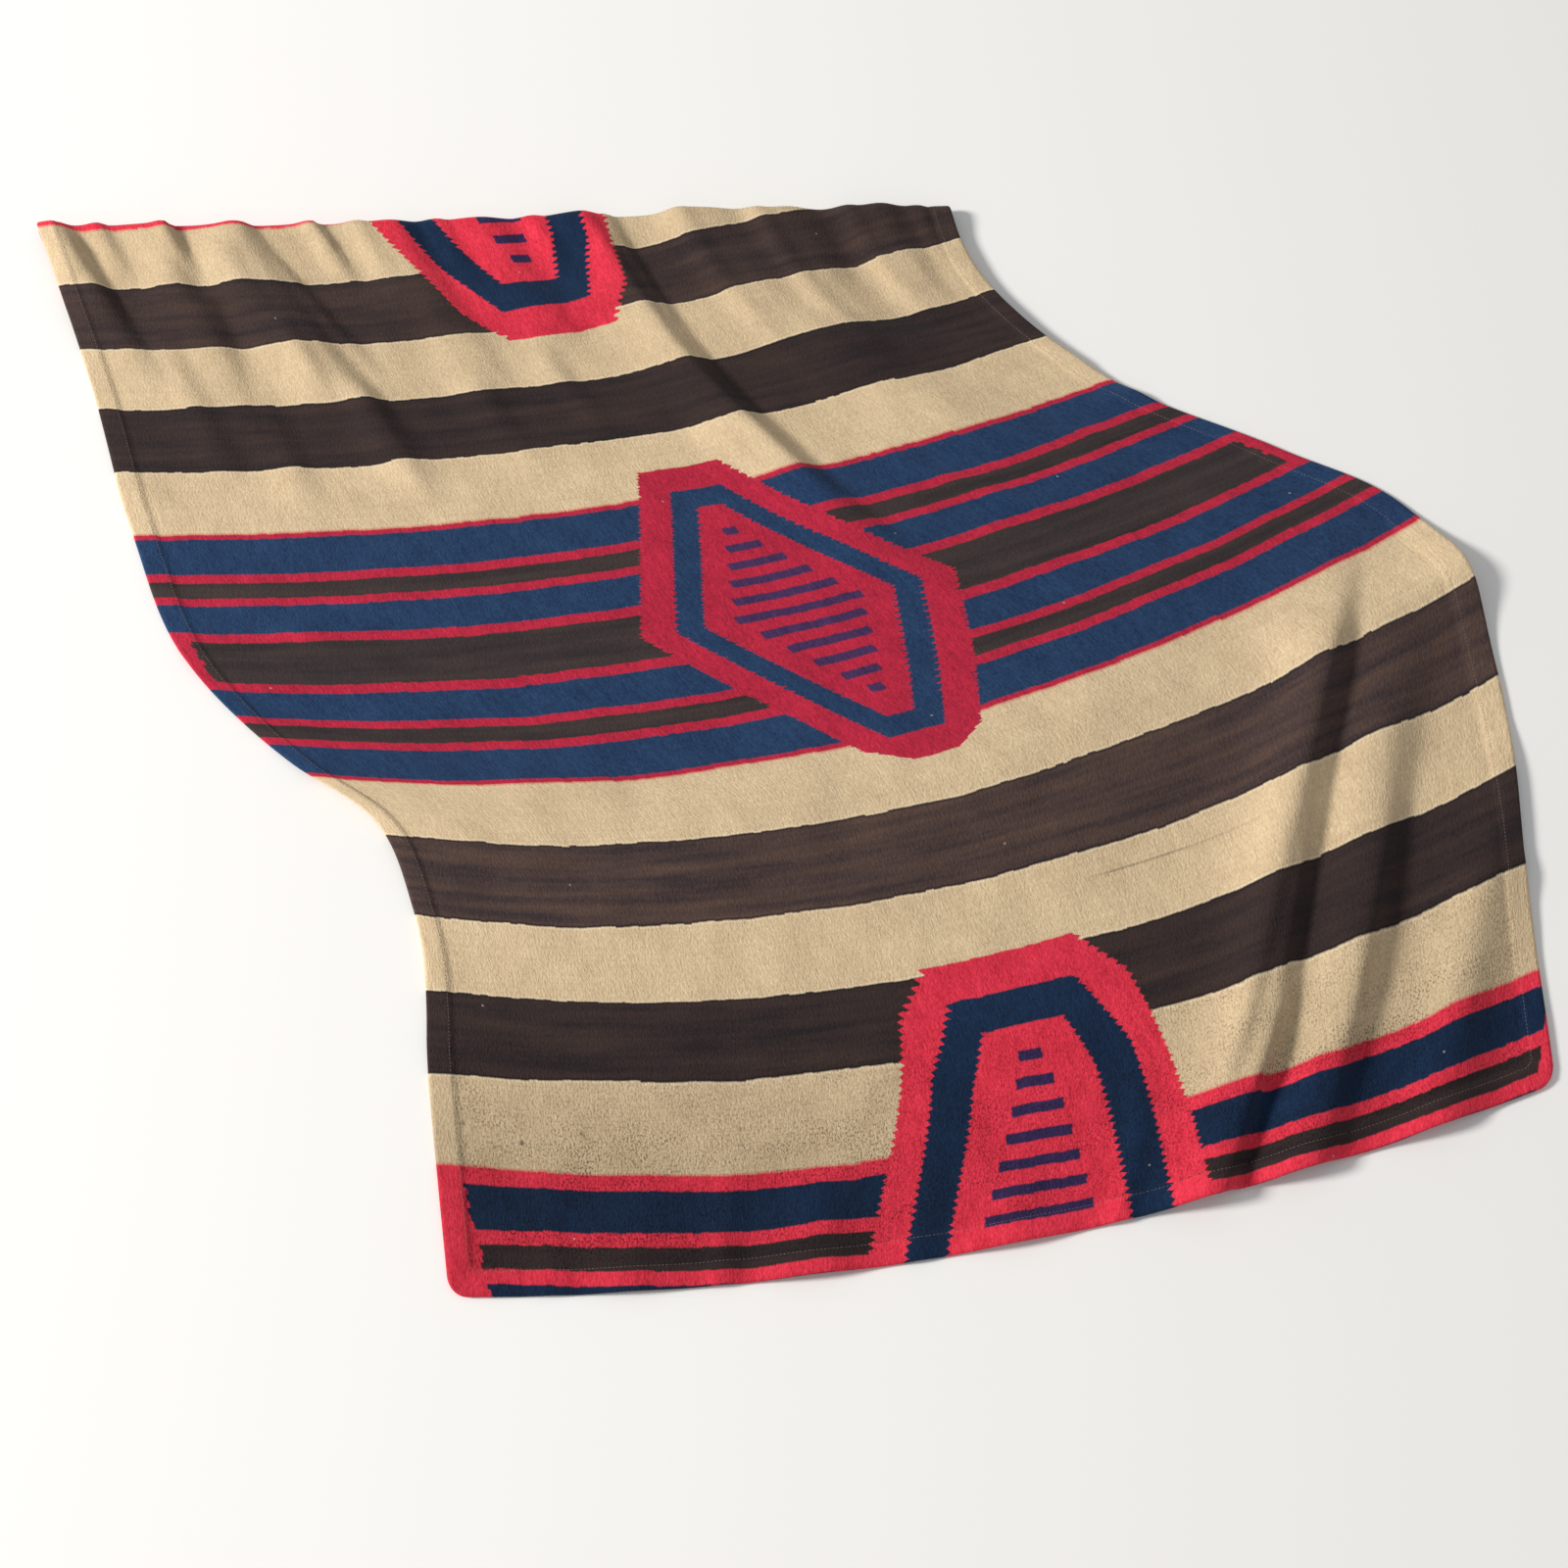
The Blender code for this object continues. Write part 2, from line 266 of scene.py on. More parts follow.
@dataclass(frozen=True)
class Station:
    """How far the cloth was pushed in x and y at its left hem, middle and right hem."""

    t: float
    left_x: float
    middle_x: float
    right_x: float
    left_y: float
    middle_y: float
    right_y: float


@dataclass(frozen=True)
class Ridge:
    """A soft ridge whose crest runs from (s0, t0) to (s1, t1) and bows aside by bend.

    right and left are its flanks as seen walking along it. rise and fall are the shares
    of its length over which it grows and dies. foot is how much the left flank comes
    straight down to a sharp foot, and does not run out softly."""

    s0: float
    t0: float
    s1: float
    t1: float
    bend: float
    height: float
    right: float
    left: float
    rise: float
    fall: float
    foot: float = 0.0
    foot_reach: float = 1.75
    taken_up: float = 0.22
    pull_reach: float = 5.0

    def lift(self, s: Array, t: Array, calm: Array) -> tuple[Array, Array, Array]:
        """Height of the ridge, and the pull in x and y that gathers cloth into it."""
        length = np.hypot(self.s1 - self.s0, self.t1 - self.t0)
        along_s = (self.s1 - self.s0) / length
        along_t = (self.t1 - self.t0) / length
        share = ((s - self.s0) * along_s + (t - self.t0) * along_t) / length
        aside = (s - self.s0) * along_t - (t - self.t0) * along_s
        aside = aside - self.bend * 4 * np.clip(share, 0, 1) * (1 - np.clip(share, 0, 1))
        flank = np.where(aside > 0, self.right, self.left)
        crest = self.height * calm * smooth_step(share / self.rise) * smooth_step((1 - share) / self.fall)
        u = aside / flank
        pull = self.taken_up * crest ** 2 / flank * np.tanh(u ** 3) * np.exp(-((u / self.pull_reach) ** 2))
        bell = np.exp(-0.5 * u * u)
        straight = np.maximum(1 - (u / self.foot_reach) ** 2, 0)
        profile = np.where(u < 0, bell + self.foot * (straight - bell), bell)
        return crest * profile, -pull * along_t, pull * along_s


STATIONS = (
    Station(0.00, 0.09, 0.02, -0.02, 0.14, 0.00, -0.03),
    Station(0.20, 0.13, 0.08, 0.05, 0.15, -0.02, -0.02),
    Station(0.40, 0.17, 0.09, 0.13, 0.15, -0.01, 0.02),
    Station(0.50, 0.16, 0.09, 0.15, 0.16, 0.00, 0.05),
    Station(0.60, 0.09, 0.06, 0.12, 0.16, 0.00, 0.05),
    Station(0.76, 0.01, 0.00, 0.01, 0.16, 0.00, 0.01),
    Station(0.95, -0.01, -0.06, -0.14, 0.15, 0.00, -0.03),
    Station(1.15, -0.01, -0.11, -0.23, 0.15, 0.00, -0.05),
    Station(1.40, -0.02, -0.14, -0.21, 0.15, 0.00, -0.05),
)

MAIN_RIDGES = (
    # gathers that start in the far fold
    Ridge(0.014, 1.43, 0.088, 1.06, 0.000, 0.009, 0.028, 0.018, 0.20, 0.65, 0.5),
    Ridge(0.168, 1.43, 0.180, 1.02, 0.005, 0.011, 0.030, 0.018, 0.18, 0.70, 0.5),
    Ridge(0.235, 1.40, 0.300, 1.02, 0.000, 0.007, 0.027, 0.018, 0.15, 0.60, 0.5),
    Ridge(0.258, 1.43, 0.398, 0.96, 0.006, 0.014, 0.032, 0.019, 0.16, 0.60, 0.6),
    Ridge(0.490, 1.43, 0.545, 1.05, 0.004, 0.010, 0.032, 0.022, 0.18, 0.70, 0.4),
    Ridge(0.620, 1.42, 0.660, 1.10, 0.004, 0.009, 0.032, 0.024, 0.18, 0.75, 0.3),
    Ridge(0.748, 1.41, 0.838, 0.70, -0.006, 0.016, 0.036, 0.017, 0.10, 0.45, 0.6),
    Ridge(0.900, 1.39, 1.200, 0.80, 0.040, 0.014, 0.044, 0.042, 0.10, 0.55),
    Ridge(1.030, 1.36, 1.110, 1.02, 0.012, 0.012, 0.032, 0.026, 0.18, 0.70, 0.3),
    Ridge(1.160, 1.33, 1.215, 1.02, 0.008, 0.013, 0.030, 0.024, 0.18, 0.75, 0.3),
    # long soft folds that run down to the front hem on the right
    Ridge(1.205, 0.640, 0.838, -0.06, 0.036, 0.022, 0.042, 0.020, 0.32, 0.08, 0.7),
    Ridge(1.222, 0.540, 0.950, -0.06, 0.026, 0.020, 0.033, 0.026, 0.35, 0.08, 0.3),
    Ridge(1.285, 0.380, 1.105, -0.06, 0.014, 0.016, 0.032, 0.032, 0.40, 0.08),
    # the low roll across the middle, and the bump where it meets the right hem
    Ridge(-0.080, 0.530, 1.060, 0.490, 0.000, 0.010, 0.052, 0.056, 0.10, 0.20),
    Ridge(1.350, 0.500, 1.020, 0.510, 0.000, 0.018, 0.034, 0.034, 0.05, 0.80),
    # waves in the front hem
    Ridge(0.200, -0.06, 0.215, 0.12, 0.000, 0.007, 0.034, 0.034, 0.05, 0.80),
    Ridge(0.400, -0.06, 0.430, 0.16, 0.000, 0.010, 0.036, 0.036, 0.05, 0.80),
    Ridge(0.640, -0.06, 0.650, 0.13, 0.000, 0.008, 0.034, 0.034, 0.05, 0.80),
)

CREASES = (
    # creases on the shaded side of the gathers, and short ones between them
    Ridge(0.024, 1.42, 0.104, 1.12, 0.000, 0.0051, 0.016, 0.009, 0.06, 0.60, 0.5),
    Ridge(0.085, 1.44, 0.108, 1.27, 0.002, 0.0070, 0.013, 0.009, 0.06, 0.70, 0.4),
    Ridge(0.180, 1.44, 0.205, 1.29, 0.000, 0.0083, 0.012, 0.007, 0.06, 0.60, 0.5),
    Ridge(0.200, 1.30, 0.196, 1.12, 0.000, 0.0051, 0.014, 0.009, 0.20, 0.50, 0.4),
    Ridge(0.282, 1.44, 0.412, 1.10, 0.004, 0.0077, 0.016, 0.009, 0.06, 0.55, 0.5),
    Ridge(0.288, 1.27, 0.310, 1.11, 0.000, 0.0051, 0.014, 0.009, 0.25, 0.45, 0.4),
    Ridge(0.382, 1.44, 0.420, 1.27, -0.002, 0.0085, 0.013, 0.007, 0.06, 0.55, 0.5),
    Ridge(0.455, 1.44, 0.470, 1.25, 0.003, 0.0058, 0.012, 0.010, 0.06, 0.70, 0.3),
    Ridge(0.110, 1.24, 0.150, 0.98, 0.004, 0.0064, 0.022, 0.015, 0.25, 0.50, 0.3),
    Ridge(0.205, 1.16, 0.225, 0.95, 0.000, 0.0054, 0.020, 0.015, 0.30, 0.50, 0.2),
    Ridge(0.345, 1.18, 0.375, 0.93, 0.004, 0.0061, 0.020, 0.014, 0.30, 0.50, 0.3),
    Ridge(0.500, 1.16, 0.520, 0.98, 0.000, 0.0051, 0.020, 0.015, 0.30, 0.50, 0.2),
    Ridge(0.610, 1.20, 0.640, 1.02, 0.000, 0.0051, 0.018, 0.014, 0.30, 0.50, 0.2),
    Ridge(0.560, 1.44, 0.590, 1.22, 0.004, 0.0064, 0.013, 0.010, 0.06, 0.70, 0.3),
    Ridge(0.690, 1.42, 0.720, 1.20, 0.003, 0.0064, 0.013, 0.010, 0.06, 0.70, 0.3),
    Ridge(0.785, 1.40, 0.846, 0.80, -0.006, 0.0083, 0.018, 0.010, 0.10, 0.45, 0.6),
    Ridge(0.880, 1.40, 0.960, 1.04, 0.008, 0.0064, 0.012, 0.013, 0.10, 0.65),
    Ridge(0.985, 1.38, 1.080, 1.02, 0.010, 0.0064, 0.012, 0.012, 0.10, 0.65),
    Ridge(1.110, 1.36, 1.180, 1.06, 0.006, 0.0070, 0.012, 0.011, 0.10, 0.70),
    Ridge(1.215, 1.36, 1.240, 1.12, 0.002, 0.0058, 0.012, 0.011, 0.10, 0.70),
    # creases beside the long folds
    Ridge(1.192, 0.585, 0.846, 0.070, 0.026, 0.0060, 0.020, 0.008, 0.25, 0.20, 0.6),
    Ridge(1.000, 0.235, 0.893, 0.085, 0.004, 0.0042, 0.009, 0.008, 0.30, 0.30, 0.3),
    Ridge(1.150, 0.365, 1.000, 0.060, 0.010, 0.0042, 0.012, 0.010, 0.30, 0.25, 0.3),
    Ridge(0.920, 0.980, 1.080, 0.720, 0.014, 0.0045, 0.013, 0.014, 0.30, 0.50),
    Ridge(0.755, 0.900, 0.880, 0.720, 0.010, 0.0040, 0.014, 0.014, 0.35, 0.50),
    # low wrinkles across the middle
    Ridge(0.040, 0.62, 0.420, 0.585, 0.006, 0.0034, 0.016, 0.015, 0.30, 0.50),
    Ridge(0.150, 0.42, 0.520, 0.440, -0.008, 0.0032, 0.016, 0.014, 0.30, 0.50),
    Ridge(0.560, 0.46, 0.880, 0.400, 0.008, 0.0034, 0.015, 0.016, 0.35, 0.50),
    Ridge(0.080, 0.86, 0.300, 0.700, 0.006, 0.0032, 0.014, 0.014, 0.35, 0.50),
    # small waves that run up from the front hem
    Ridge(0.110, -0.02, 0.125, 0.14, 0.002, 0.0038, 0.013, 0.013, 0.05, 0.80),
    Ridge(0.300, -0.02, 0.318, 0.19, 0.003, 0.0044, 0.012, 0.013, 0.05, 0.80),
    Ridge(0.520, -0.02, 0.548, 0.17, -0.003, 0.0038, 0.014, 0.012, 0.05, 0.80),
    Ridge(0.745, -0.02, 0.790, 0.21, 0.005, 0.0048, 0.012, 0.012, 0.05, 0.75),
    # small waves that run in from the side hems
    Ridge(-0.02, 0.250, 0.130, 0.268, 0.003, 0.0035, 0.013, 0.014, 0.05, 0.80),
    Ridge(-0.02, 0.760, 0.120, 0.742, -0.003, 0.0035, 0.014, 0.013, 0.05, 0.80),
    Ridge(-0.02, 1.010, 0.140, 0.985, 0.004, 0.0038, 0.013, 0.014, 0.05, 0.80),
    Ridge(1.290, 0.205, 1.165, 0.225, 0.003, 0.0035, 0.012, 0.014, 0.05, 0.80),
    Ridge(1.290, 0.905, 1.150, 0.930, 0.004, 0.0045, 0.013, 0.014, 0.05, 0.80),
)


@dataclass(frozen=True)
class Ripple:
    """One even wave of the low unevenness that loose cloth keeps when it is laid flat."""

    across: float
    along: float
    phase: float
    height: float


RIPPLES = (
    Ripple(5.2, 3.1, 0.4, 0.00050),
    Ripple(-3.4, 6.7, 2.1, 0.00045),
    Ripple(9.3, -4.4, 4.0, 0.00035),
    Ripple(4.9, 11.8, 1.3, 0.00030),
    Ripple(-12.6, 7.9, 5.2, 0.00022),
)


@dataclass(frozen=True)
class LaidCloth:
    """The whole cloth as it lies: pushed aside, folded under, ridged and creased."""

    cut: CutCloth = CutCloth()
    fold: FarFold = FarFold()
    lift_sunk: float = 0.0008
    lift_knee: float = 0.0020
    probe: float = 0.0004

    def layout_shift(self, s: Array, t: Array) -> list[Array]:
        """How far a place on the cloth was pushed in x and in y."""
        stations = np.array([row.t for row in STATIONS])
        share = s / self.cut.width
        shift = []
        for axis in "xy":
            left, middle, right = (
                through_stations(stations, np.array([getattr(row, name + axis) for row in STATIONS]), t)
                for name in ("left_", "middle_", "right_"))
            shift.append(left * (1 - share) * (1 - 2 * share)
                         + middle * 4 * share * (1 - share)
                         + right * share * (2 * share - 1))
        return shift

    def soft_floor(self, lift: Array) -> Array:
        """Nothing lies below the surface, and low lifts lie flat on it."""
        above = np.maximum(lift - self.lift_sunk, 0.0)
        knee = self.lift_knee
        return np.where(above < knee, above * above / (2 * knee), above - knee / 2)

    def lie(self, s: Array, t: Array) -> Array:
        """The cloth's middle surface as it lies, before it is centred."""
        thick = self.cut.resting_thickness(s, t)
        s, t, up, calm = self.fold.turned(*self.cut.round_corners(s, t))
        x, y = s.copy(), t.copy()
        lift = np.zeros_like(s)
        for ridge in MAIN_RIDGES + CREASES:
            height, pull_x, pull_y = ridge.lift(s, t, calm)
            lift += height
            x += pull_x
            y += pull_y
        for ripple in RIPPLES:
            turns = ripple.across * s + ripple.along * t
            lift += calm * ripple.height * (1 + np.sin(2 * np.pi * turns + ripple.phase))
        shift_x, shift_y = self.layout_shift(s, t)
        return np.stack([x + shift_x, y + shift_y, self.soft_floor(lift) + up + thick / 2], axis=1)

    def middle(self, s: Array, t: Array) -> Array:
        """The middle surface, with the origin under the middle of the cut."""
        place = self.lie(s, t)
        centre = self.lie(np.array([self.cut.width / 2]), np.array([self.cut.length / 2]))
        return place - centre * np.array([1.0, 1.0, 0.0])

    def outward(self, s: Array, t: Array) -> Array:
        """Unit normals of the middle surface, on the printed face's side."""
        step = self.probe
        run_s = self.middle(s + step, t) - self.middle(s - step, t)
        run_t = self.middle(s, t + step) - self.middle(s, t - step)
        normal = np.cross(run_s, run_t)
        return normal / np.linalg.norm(normal, axis=1, keepdims=True)


# The throw

@dataclass(frozen=True)
class Throw:
    """The hemmed cloth as one closed sheet, with the print on its face and round its hem."""

    laid: LaidCloth = LaidCloth()
    columns_between: int = 172
    rows_between: int = 168
    rows_on_flap: int = 18

    def columns(self) -> Array:
        """Distances of the grid's columns from the left hem."""
        cut = self.laid.cut
        hem = cut.hem_lines()
        between = np.linspace(hem[-1], cut.width - hem[-1], self.columns_between + 1)
        return np.concatenate([hem, between[1:-1], (cut.width - hem)[::-1]])

    def rows(self, s: float) -> Array:
        """Distances of the grid's rows from the front hem, in the column at s."""
        cut = self.laid.cut
        hem = cut.hem_lines()
        turn = self.laid.fold.turn_rows(s)
        front = np.linspace(hem[-1], turn[0], self.rows_between + 1)[:-1]
        flap = np.linspace(turn[-1], cut.length - hem[-1], self.rows_on_flap + 1)[1:]
        return np.concatenate([hem[:-1], front, turn, flap, (cut.length - hem[:-1])[::-1]])

    def sheet(self) -> tuple[bpy.types.Mesh, Array]:
        """The cloth's middle surface as a grid that carries its own flat map.

        Returns:
            The mesh, and the place across and along the cut of each of its points.
        """
        columns = self.columns()
        rows = np.array([self.rows(s) for s in columns])
        last_column, last_row = rows.shape[0] - 1, rows.shape[1] - 1
        bm = bmesh.new()
        bmesh.ops.create_grid(bm, x_segments=last_column, y_segments=last_row, size=0.5)
        mesh = bpy.data.meshes.new("throw")
        bm.to_mesh(mesh)
        bm.free()

        grid = read_all(mesh.vertices, "co", 3, np.float64)
        column = np.rint((grid[:, 0] + 0.5) * last_column).astype(int)
        row = np.rint((grid[:, 1] + 0.5) * last_row).astype(int)
        s, t = columns[column], rows[column, row]
        mesh.vertices.foreach_set("co", self.laid.middle(s, t).ravel())

        corner = read_all(mesh.loops, "vertex_index", 1, np.int32)
        cut_place = np.stack([s, t], axis=1)
        layer = mesh.uv_layers.new(name=CLOTH_MAP)
        layer.uv.foreach_set("vector", (cut_place[corner] / CLOTH_MAP_SIZE).astype(np.float32).ravel())
        mesh.update()
        return mesh, cut_place

    def thickened(self, mesh: bpy.types.Mesh, cut_place: Array) -> bpy.types.Mesh:
        """The sheet with its real thickness at every point, as one closed mesh."""
        cut = self.laid.cut
        holder = placed("throw_sheet", mesh)
        group = holder.vertex_groups.new(name="thickness")
        for index, thick in enumerate(cut.sewn_thickness(*cut_place.T)):
            group.add([index], thick / cut.hem_thickness, "REPLACE")
        solid = holder.modifiers.new("cloth thickness", "SOLIDIFY")
        solid.thickness = cut.hem_thickness
        solid.offset = 0.0
        solid.vertex_group = group.name
        solid.material_offset = 1
        evaluated = holder.evaluated_get(bpy.context.evaluated_depsgraph_get())
        closed = bpy.data.meshes.new_from_object(evaluated)
        bpy.data.objects.remove(holder, do_unlink=True)
        return closed

    def show_print_on_hem(self, mesh: bpy.types.Mesh) -> None:
        """Gives the hem's strip on the back the printed face, which is turned over there."""
        cut = self.laid.cut
        place = read_all(mesh.uv_layers[CLOTH_MAP].uv, "vector", 2, np.float32) * CLOTH_MAP_SIZE
        starts, sides, finish = (read_all(mesh.polygons, name, 1, np.int32)
                                 for name in ("loop_start", "loop_total", "material_index"))
        middle = np.add.reduceat(place, starts, axis=0) / sides[:, None]
        on_hem = cut.from_edge(middle[:, 0], middle[:, 1]) < cut.hem_width
        mesh.polygons.foreach_set("material_index", np.where(on_hem, 0, finish))

    def build(self, face: bpy.types.Material, back: bpy.types.Material) -> bpy.types.Object:
        """The throw as a finished piece.

        Args:
            face: finish of the printed face.
            back: finish of the plain back.

        Returns:
            The piece, with its place in its mesh.
        """
        mesh, cut_place = self.sheet()
        mesh.materials.append(face)
        mesh.materials.append(back)
        closed = self.thickened(mesh, cut_place)
        closed.name = "flannel_throw"
        self.show_print_on_hem(closed)
        closed.shade_smooth()
        return placed("flannel_throw", closed)


class ClothFace(Enum):
    """The two faces of the cloth, by the side of its middle surface that they lie on."""

    PRINTED = 1
    BACK = -1


@dataclass(frozen=True)
class HemStitches:
    """The lockstitches of the hem's seam, a ring of them on each face of the cloth."""

    laid: LaidCloth = LaidCloth()
    pitch: float = 0.0042
    length: float = 0.0033
    thread_radius: float = 0.00032
    sunk: float = 0.00010
    tilt: float = 0.10
    seed: int = 11
    path_step: float = 0.004
    segments: int = 6
    rings: int = 4
    corner_radius: float = 0.008
    corner_steps: int = 6

    def seam_path(self) -> tuple[Array, Array]:
        """The seam's line on the cut cloth, with round corners, as places across and along."""
        cut = self.laid.cut
        inset, radius = cut.seam_inset, self.corner_radius
        right, far = cut.width - inset, cut.length - inset
        corners = ((right, inset, -90.0), (right, far, 0.0), (inset, far, 90.0), (inset, inset, 180.0))
        points: list[tuple[float, float]] = []
        for index, (s, t, start) in enumerate(corners):
            centre_s = s - math.copysign(radius, s - cut.width / 2)
            centre_t = t - math.copysign(radius, t - cut.length / 2)
            for turn in np.radians(start + np.linspace(0, 90, self.corner_steps + 1)):
                points.append((centre_s + radius * math.cos(turn), centre_t + radius * math.sin(turn)))
        path: list[Array] = []
        for here, there in zip(points, points[1:] + points[:1]):
            span = math.dist(here, there)
            steps = max(1, round(span / self.path_step))
            share = np.arange(steps)[:, None] / steps
            path.append(np.array(here) * (1 - share) + np.array(there) * share)
        return tuple(np.concatenate(path).T)

    def ring(self, face: ClothFace) -> bpy.types.Object:
        """The seam's line on one face of the cloth, as a closed chain of edges."""
        s, t = self.seam_path()
        reach = self.laid.cut.sewn_thickness(s, t) / 2 - self.sunk
        place = self.laid.middle(s, t) + face.value * reach[:, None] * self.laid.outward(s, t)
        count = len(place)
        mesh = bpy.data.meshes.new("seam_line")
        mesh.from_pydata(place.tolist(), [(i, (i + 1) % count) for i in range(count)], [])
        return placed("seam_line", mesh)

    def tree(self) -> bpy.types.NodeTree:
        """Geometry nodes that sew a run of stitches along a line."""
        tree = bpy.data.node_groups.new("hem_stitches", "GeometryNodeTree")
        kinds = {"Line": "Geometry", "Pitch": "Float", "Stitch length": "Float", "Thread radius": "Float",
                 "Tilt": "Float", "Seed": "Int", "Thread": "Material"}
        for name, kind in kinds.items():
            tree.interface.new_socket(name, in_out="INPUT", socket_type="NodeSocket" + kind)
        tree.interface.new_socket("Stitches", in_out="OUTPUT", socket_type="NodeSocketGeometry")

        given = wired(tree, "NodeGroupInput", {}).outputs
        line = wired(tree, "GeometryNodeMeshToCurve", {"Mesh": given["Line"]})
        paced = wired(tree, "GeometryNodeResampleCurve",
                      {"Curve": line.outputs["Curve"], "Length": given["Pitch"]}, mode="LENGTH")
        bead = wired(tree, "GeometryNodeMeshUVSphere",
                     {"Segments": self.segments, "Rings": self.rings, "Radius": 1.0})
        half = wired(tree, "ShaderNodeMath", {0: given["Stitch length"], 1: 0.5}, operation="MULTIPLY")
        radius = given["Thread radius"]
        size = wired(tree, "ShaderNodeCombineXYZ", {"X": radius, "Y": radius, "Z": half.outputs[0]})
        stitch = wired(tree, "GeometryNodeTransform",
                       {"Geometry": bead.outputs["Mesh"], "Scale": size.outputs[0]})

        lowest, highest = (
            wired(tree, "ShaderNodeVectorMath",
                  {0: (side, side, 0.0), "Scale": given["Tilt"]}, operation="SCALE")
            for side in (-1.0, 1.0))
        lean = wired(tree, "FunctionNodeRandomValue",
                     {0: lowest.outputs[0], 1: highest.outputs[0], "Seed": given["Seed"]},
                     data_type="FLOAT_VECTOR")
        tangent = wired(tree, "GeometryNodeInputTangent", {})
        heading = wired(tree, "ShaderNodeVectorMath",
                        {0: tangent.outputs[0], 1: lean.outputs[0]}, operation="ADD")
        turn = wired(tree, "FunctionNodeAlignRotationToVector", {"Vector": heading.outputs[0]}, axis="Z")

        sewn = wired(tree, "GeometryNodeInstanceOnPoints",
                     {"Points": paced.outputs["Curve"], "Instance": stitch.outputs["Geometry"],
                      "Rotation": turn.outputs[0]})
        real = wired(tree, "GeometryNodeRealizeInstances", {"Geometry": sewn.outputs["Instances"]})
        dressed = wired(tree, "GeometryNodeSetMaterial",
                        {"Geometry": real.outputs["Geometry"], "Material": given["Thread"]})
        wired(tree, "NodeGroupOutput", {"Stitches": dressed.outputs["Geometry"]})
        return tree

    def sew(self, face: ClothFace, tree: bpy.types.NodeTree, thread: bpy.types.Material) -> bpy.types.Mesh:
        """One ring of stitches as a plain mesh."""
        ring = self.ring(face)
        maker = ring.modifiers.new("stitches", "NODES")
        maker.node_group = tree
        values = {"Pitch": self.pitch, "Stitch length": self.length, "Thread radius": self.thread_radius,
                  "Tilt": self.tilt, "Seed": self.seed, "Thread": thread}
        for item in tree.interface.items_tree:
            if item.in_out == "INPUT" and item.name in values:
                maker[item.identifier] = values[item.name]
        ring.update_tag()
        evaluated = ring.evaluated_get(bpy.context.evaluated_depsgraph_get())
        mesh = bpy.data.meshes.new_from_object(evaluated)
        bpy.data.objects.remove(ring, do_unlink=True)
        return mesh

    def build(self, face: ClothFace, thread: bpy.types.Material) -> bpy.types.Object:
        """The stitches of one face as a finished piece."""
        mesh = self.sew(face, self.tree(), thread)
        mesh.shade_smooth()
        name = "hem_stitches_" + face.name.lower()
        mesh.name = name
        return placed(name, mesh)


# Finishes

def linear(red: int, green: int, blue: int) -> Colour:
    """A screen colour, of 0 to 255 a channel, in linear light."""
    shares = (channel / 255 for channel in (red, green, blue))
    return tuple(x / 12.92 if x <= 0.04045 else ((x + 0.055) / 1.055) ** 2.4 for x in shares)


@dataclass(frozen=True)
class Texture:
    """Noise over the cloth, by how many marks it has to the metre across and along."""

    across: float
    along: float
    detail: float
    roughness: float = 0.6


class Signal:
    """A number, colour or place that flows through a material's nodes."""

    def __init__(self, graph: "Graph", socket: bpy.types.NodeSocket) -> None:
        """Keeps the graph that it belongs to and the socket that it leaves by."""
        self.graph = graph
        self.socket = socket

    def __add__(self, other: "Value") -> "Signal":
        """The sum."""
        return self.graph.math("ADD", self, other)

    def __sub__(self, other: "Value") -> "Signal":
        """The difference."""
        return self.graph.math("SUBTRACT", self, other)

    def __rsub__(self, other: "Value") -> "Signal":
        """The difference from a number."""
        return self.graph.math("SUBTRACT", other, self)

    def __mul__(self, other: "Value") -> "Signal":
        """The product."""
        return self.graph.math("MULTIPLY", self, other)

    def __truediv__(self, other: "Value") -> "Signal":
        """The quotient."""
        return self.graph.math("DIVIDE", self, other)

    def __abs__(self) -> "Signal":
        """The size without its sign."""
        return self.graph.math("ABSOLUTE", self)


Value = Signal | float


